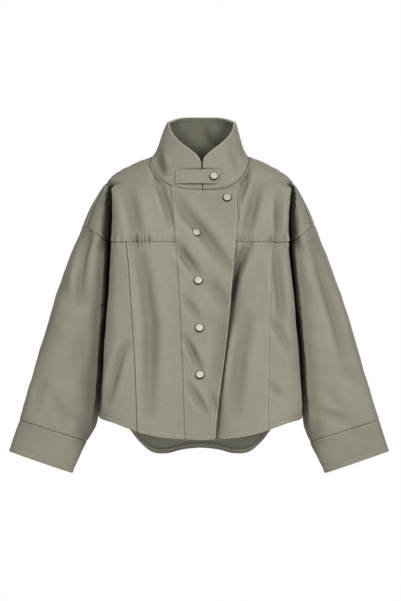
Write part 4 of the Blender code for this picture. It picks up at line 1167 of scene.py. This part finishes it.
heights = TAB_LOW + ticks(TAB_HIGH - TAB_LOW, TAB_STEP)
tab_rows = []
for z in heights:
    right = TAB_RIGHT - TAB_SLANT * (TAB_HIGH - z) / (TAB_HIGH - TAB_LOW)
    xs = TAB_LEFT + ticks(TAB_LENGTH, TAB_STEP) / TAB_LENGTH * (right - TAB_LEFT)
    seen = []
    for x in np.linspace(TAB_LEFT - 0.002, TAB_RIGHT + 0.002, 60):
        hit = surfaces["collar"].ray_cast(Vector((x, -0.5, z)), Vector((0, 1, 0)))[0]
        if hit is not None and hit.y < -0.03 and abs(x - SLIT_X) > 0.004:
            seen.append((x, hit.y))
    seen = np.array(seen)
    curve = np.polynomial.Polynomial.fit(seen[:, 0], seen[:, 1], 4)
    tab_rows.append([Vector((x, curve(x) - LAP_GAP - DOUBLE, z)) for x in xs])
tab_patches = [Patch(array(tab_rows), dict.fromkeys(("low", "high", "start", "end"), TAB_EDGE))]
tab, thread = cloth("collar_tab", tab_patches, Vector((0, 0, -0.04)), tab_relief, DOUBLE)


# The snaps: pressed brass caps with a worn pale nickel finish, a flat top inside a rounded rim, each clenched
# through the cloth.
SNAP_RADIUS, SNAP_HEIGHT, SNAP_FACE, SNAP_GAP = 0.0086, 0.0034, 0.0071, 0.0002
SNAP_BEVEL, RIM_WIDTH, RIM_DROP, FACE_EDGE, FACE_RISE = 0.0018, 0.0009, 0.00025, 0.0008, 0.0002
SNAPS = (
    ("snap_1", "collar_tab", 0.0255, -0.0378), ("snap_2", "placket", 0.0505, -0.0790),
    ("snap_3", "placket", -0.0085, -0.1455), ("snap_4", "placket", -0.0038, -0.2350),
    ("snap_5", "placket", -0.0015, -0.3240), ("snap_6", "placket", -0.0006, -0.4120),
)


def snap_material(name, dark, light):
    """Satin nickel with fine brushing and a darker tone where handling has worn it."""
    made, tree, shader, place = new_material(name, {"Metallic": 0.40, "Roughness": 0.50})
    # Worn spots about 3 mm across.
    worn = add_node(tree, "ShaderNodeTexNoise", {
        "Vector": place.outputs["Object"], "Scale": 320.0, "Detail": 3.0, "Roughness": 0.6,
    }).outputs["Fac"]
    tone = add_node(tree, "ShaderNodeMix", {
        "Factor": worn, "A": linear(dark), "B": linear(light),
    }, data_type="RGBA")
    rough = add_node(tree, "ShaderNodeBump", {"Height": worn, "Strength": 0.2, "Distance": 0.0002})
    tree.links.new(tone.outputs["Result"], shader.inputs["Base Color"])
    tree.links.new(rough.outputs["Normal"], shader.inputs["Normal"])
    return made


# The caps' faces, polished by handling, and their rims, painted dark as the shade where each rim rolls under.
nickel = snap_material("satin_nickel", "b8b4a7", "d2cec2")
snap_rim_shade = snap_material("nickel_rim_painted_shade", "37342c", "4a473e")
for node, host, x, z in SNAPS:
    spot, outward, _, _ = surfaces[host].ray_cast(Vector((x, -0.5, z)), Vector((0, 1, 0)))
    outward = (front_normal(x, max(z, -0.08)) * 2 + (outward if outward.y < 0 else -outward)).normalized()
    bpy.ops.object.select_all(action="DESELECT")
    bpy.ops.mesh.primitive_cylinder_add(vertices=40, radius=SNAP_RADIUS, depth=SNAP_HEIGHT)
    snap = bpy.context.active_object
    snap.name = "cap_" + node
    bpy.ops.object.mode_set(mode="EDIT")
    shape = bmesh.from_edit_mesh(snap.data)
    bpy.ops.mesh.select_all(action="DESELECT")
    top = max(shape.faces, key=lambda f: f.calc_center_median().z)
    top.select_set(True)
    bmesh.update_edit_mesh(snap.data)
    bpy.ops.mesh.bevel(offset=SNAP_BEVEL, segments=4, affect="EDGES")
    bpy.ops.mesh.inset(thickness=RIM_WIDTH, depth=-RIM_DROP)
    bpy.ops.mesh.inset(thickness=FACE_EDGE, depth=FACE_RISE)
    bpy.ops.object.mode_set(mode="OBJECT")
    # Faces beyond the flat top take the rim's painted shade.
    for face in snap.data.polygons:
        face.material_index = int(math.hypot(face.center.x, face.center.y) > SNAP_FACE)
    snap.rotation_euler = outward.to_track_quat("Z", "Y").to_euler()
    snap.location = spot + outward * (SNAP_HEIGHT / 2 + SNAP_GAP)
    bpy.ops.object.transform_apply(location=True, rotation=True, scale=True)
    bpy.ops.object.shade_smooth_by_angle(angle=math.radians(40))
    snap.data.materials.append(nickel)
    snap.data.materials.append(snap_rim_shade)
    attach(snap, "root")
    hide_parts(node)


# Camera at the photo's place, level with the chest; white studio light all round with a soft key from the
# right, a weaker fill from the left, a lamp behind for the back, and a pale floor below.
camera = add_object("camera", bpy.data.cameras.new("camera"))
camera.location = (0.0002, -12.0, -0.27265)
camera.rotation_euler = (math.radians(90), 0, 0)
camera.data.lens = 378.3
camera.data.dof.use_dof = False
bpy.context.scene.camera = camera

# The white behind the part is brighter than the light it gives, as with a lit paper roll.
world = bpy.data.worlds.new("studio")
world.use_nodes = True
tree = world.node_tree
room = tree.nodes["Background"]
room.inputs["Color"].default_value = (1, 1, 1, 1)
room.inputs["Strength"].default_value = 0.28
paper = add_node(tree, "ShaderNodeBackground", {"Color": (1, 1, 1, 1), "Strength": 1.0})
seen = add_node(tree, "ShaderNodeLightPath")
both = add_node(tree, "ShaderNodeMixShader", {"Fac": seen.outputs["Is Camera Ray"]})
tree.links.new(room.outputs["Background"], both.inputs[1])
tree.links.new(paper.outputs["Background"], both.inputs[2])
tree.links.new(both.outputs["Shader"], tree.nodes["World Output"].inputs["Surface"])
bpy.context.scene.world = world


def soft_light(name, place, aim, size, power):
    """A large square lamp turned towards a point."""
    lamp = bpy.data.lights.new(name, "AREA")
    lamp.size = size
    lamp.energy = power
    made = add_object(name, lamp)
    made.location = place
    made.rotation_euler = (Vector(aim) - Vector(place)).to_track_quat("-Z", "Y").to_euler()


soft_light("key", (2.2, -3.8, 1.2), (0, 0, -0.25), 1.1, 128)
soft_light("fill", (-2.2, -3.8, 1.2), (0, 0, -0.25), 1.1, 72)
soft_light("behind", (1.4, 4.4, 0.9), (0, 0, -0.30), 1.4, 105)
bpy.context.scene.view_settings.view_transform = "Standard"

bpy.ops.object.select_all(action="DESELECT")
bpy.ops.mesh.primitive_circle_add(vertices=96, radius=0.6, fill_type="NGON", location=(0, 0, -0.95))
floor = bpy.context.active_object
floor.name = "floor"
# Matt paint, nearly white.
paint = new_material("pale_floor_paint", {"Base Color": linear("f2f1ee"), "Roughness": 0.8})[0]
floor.data.materials.append(paint)
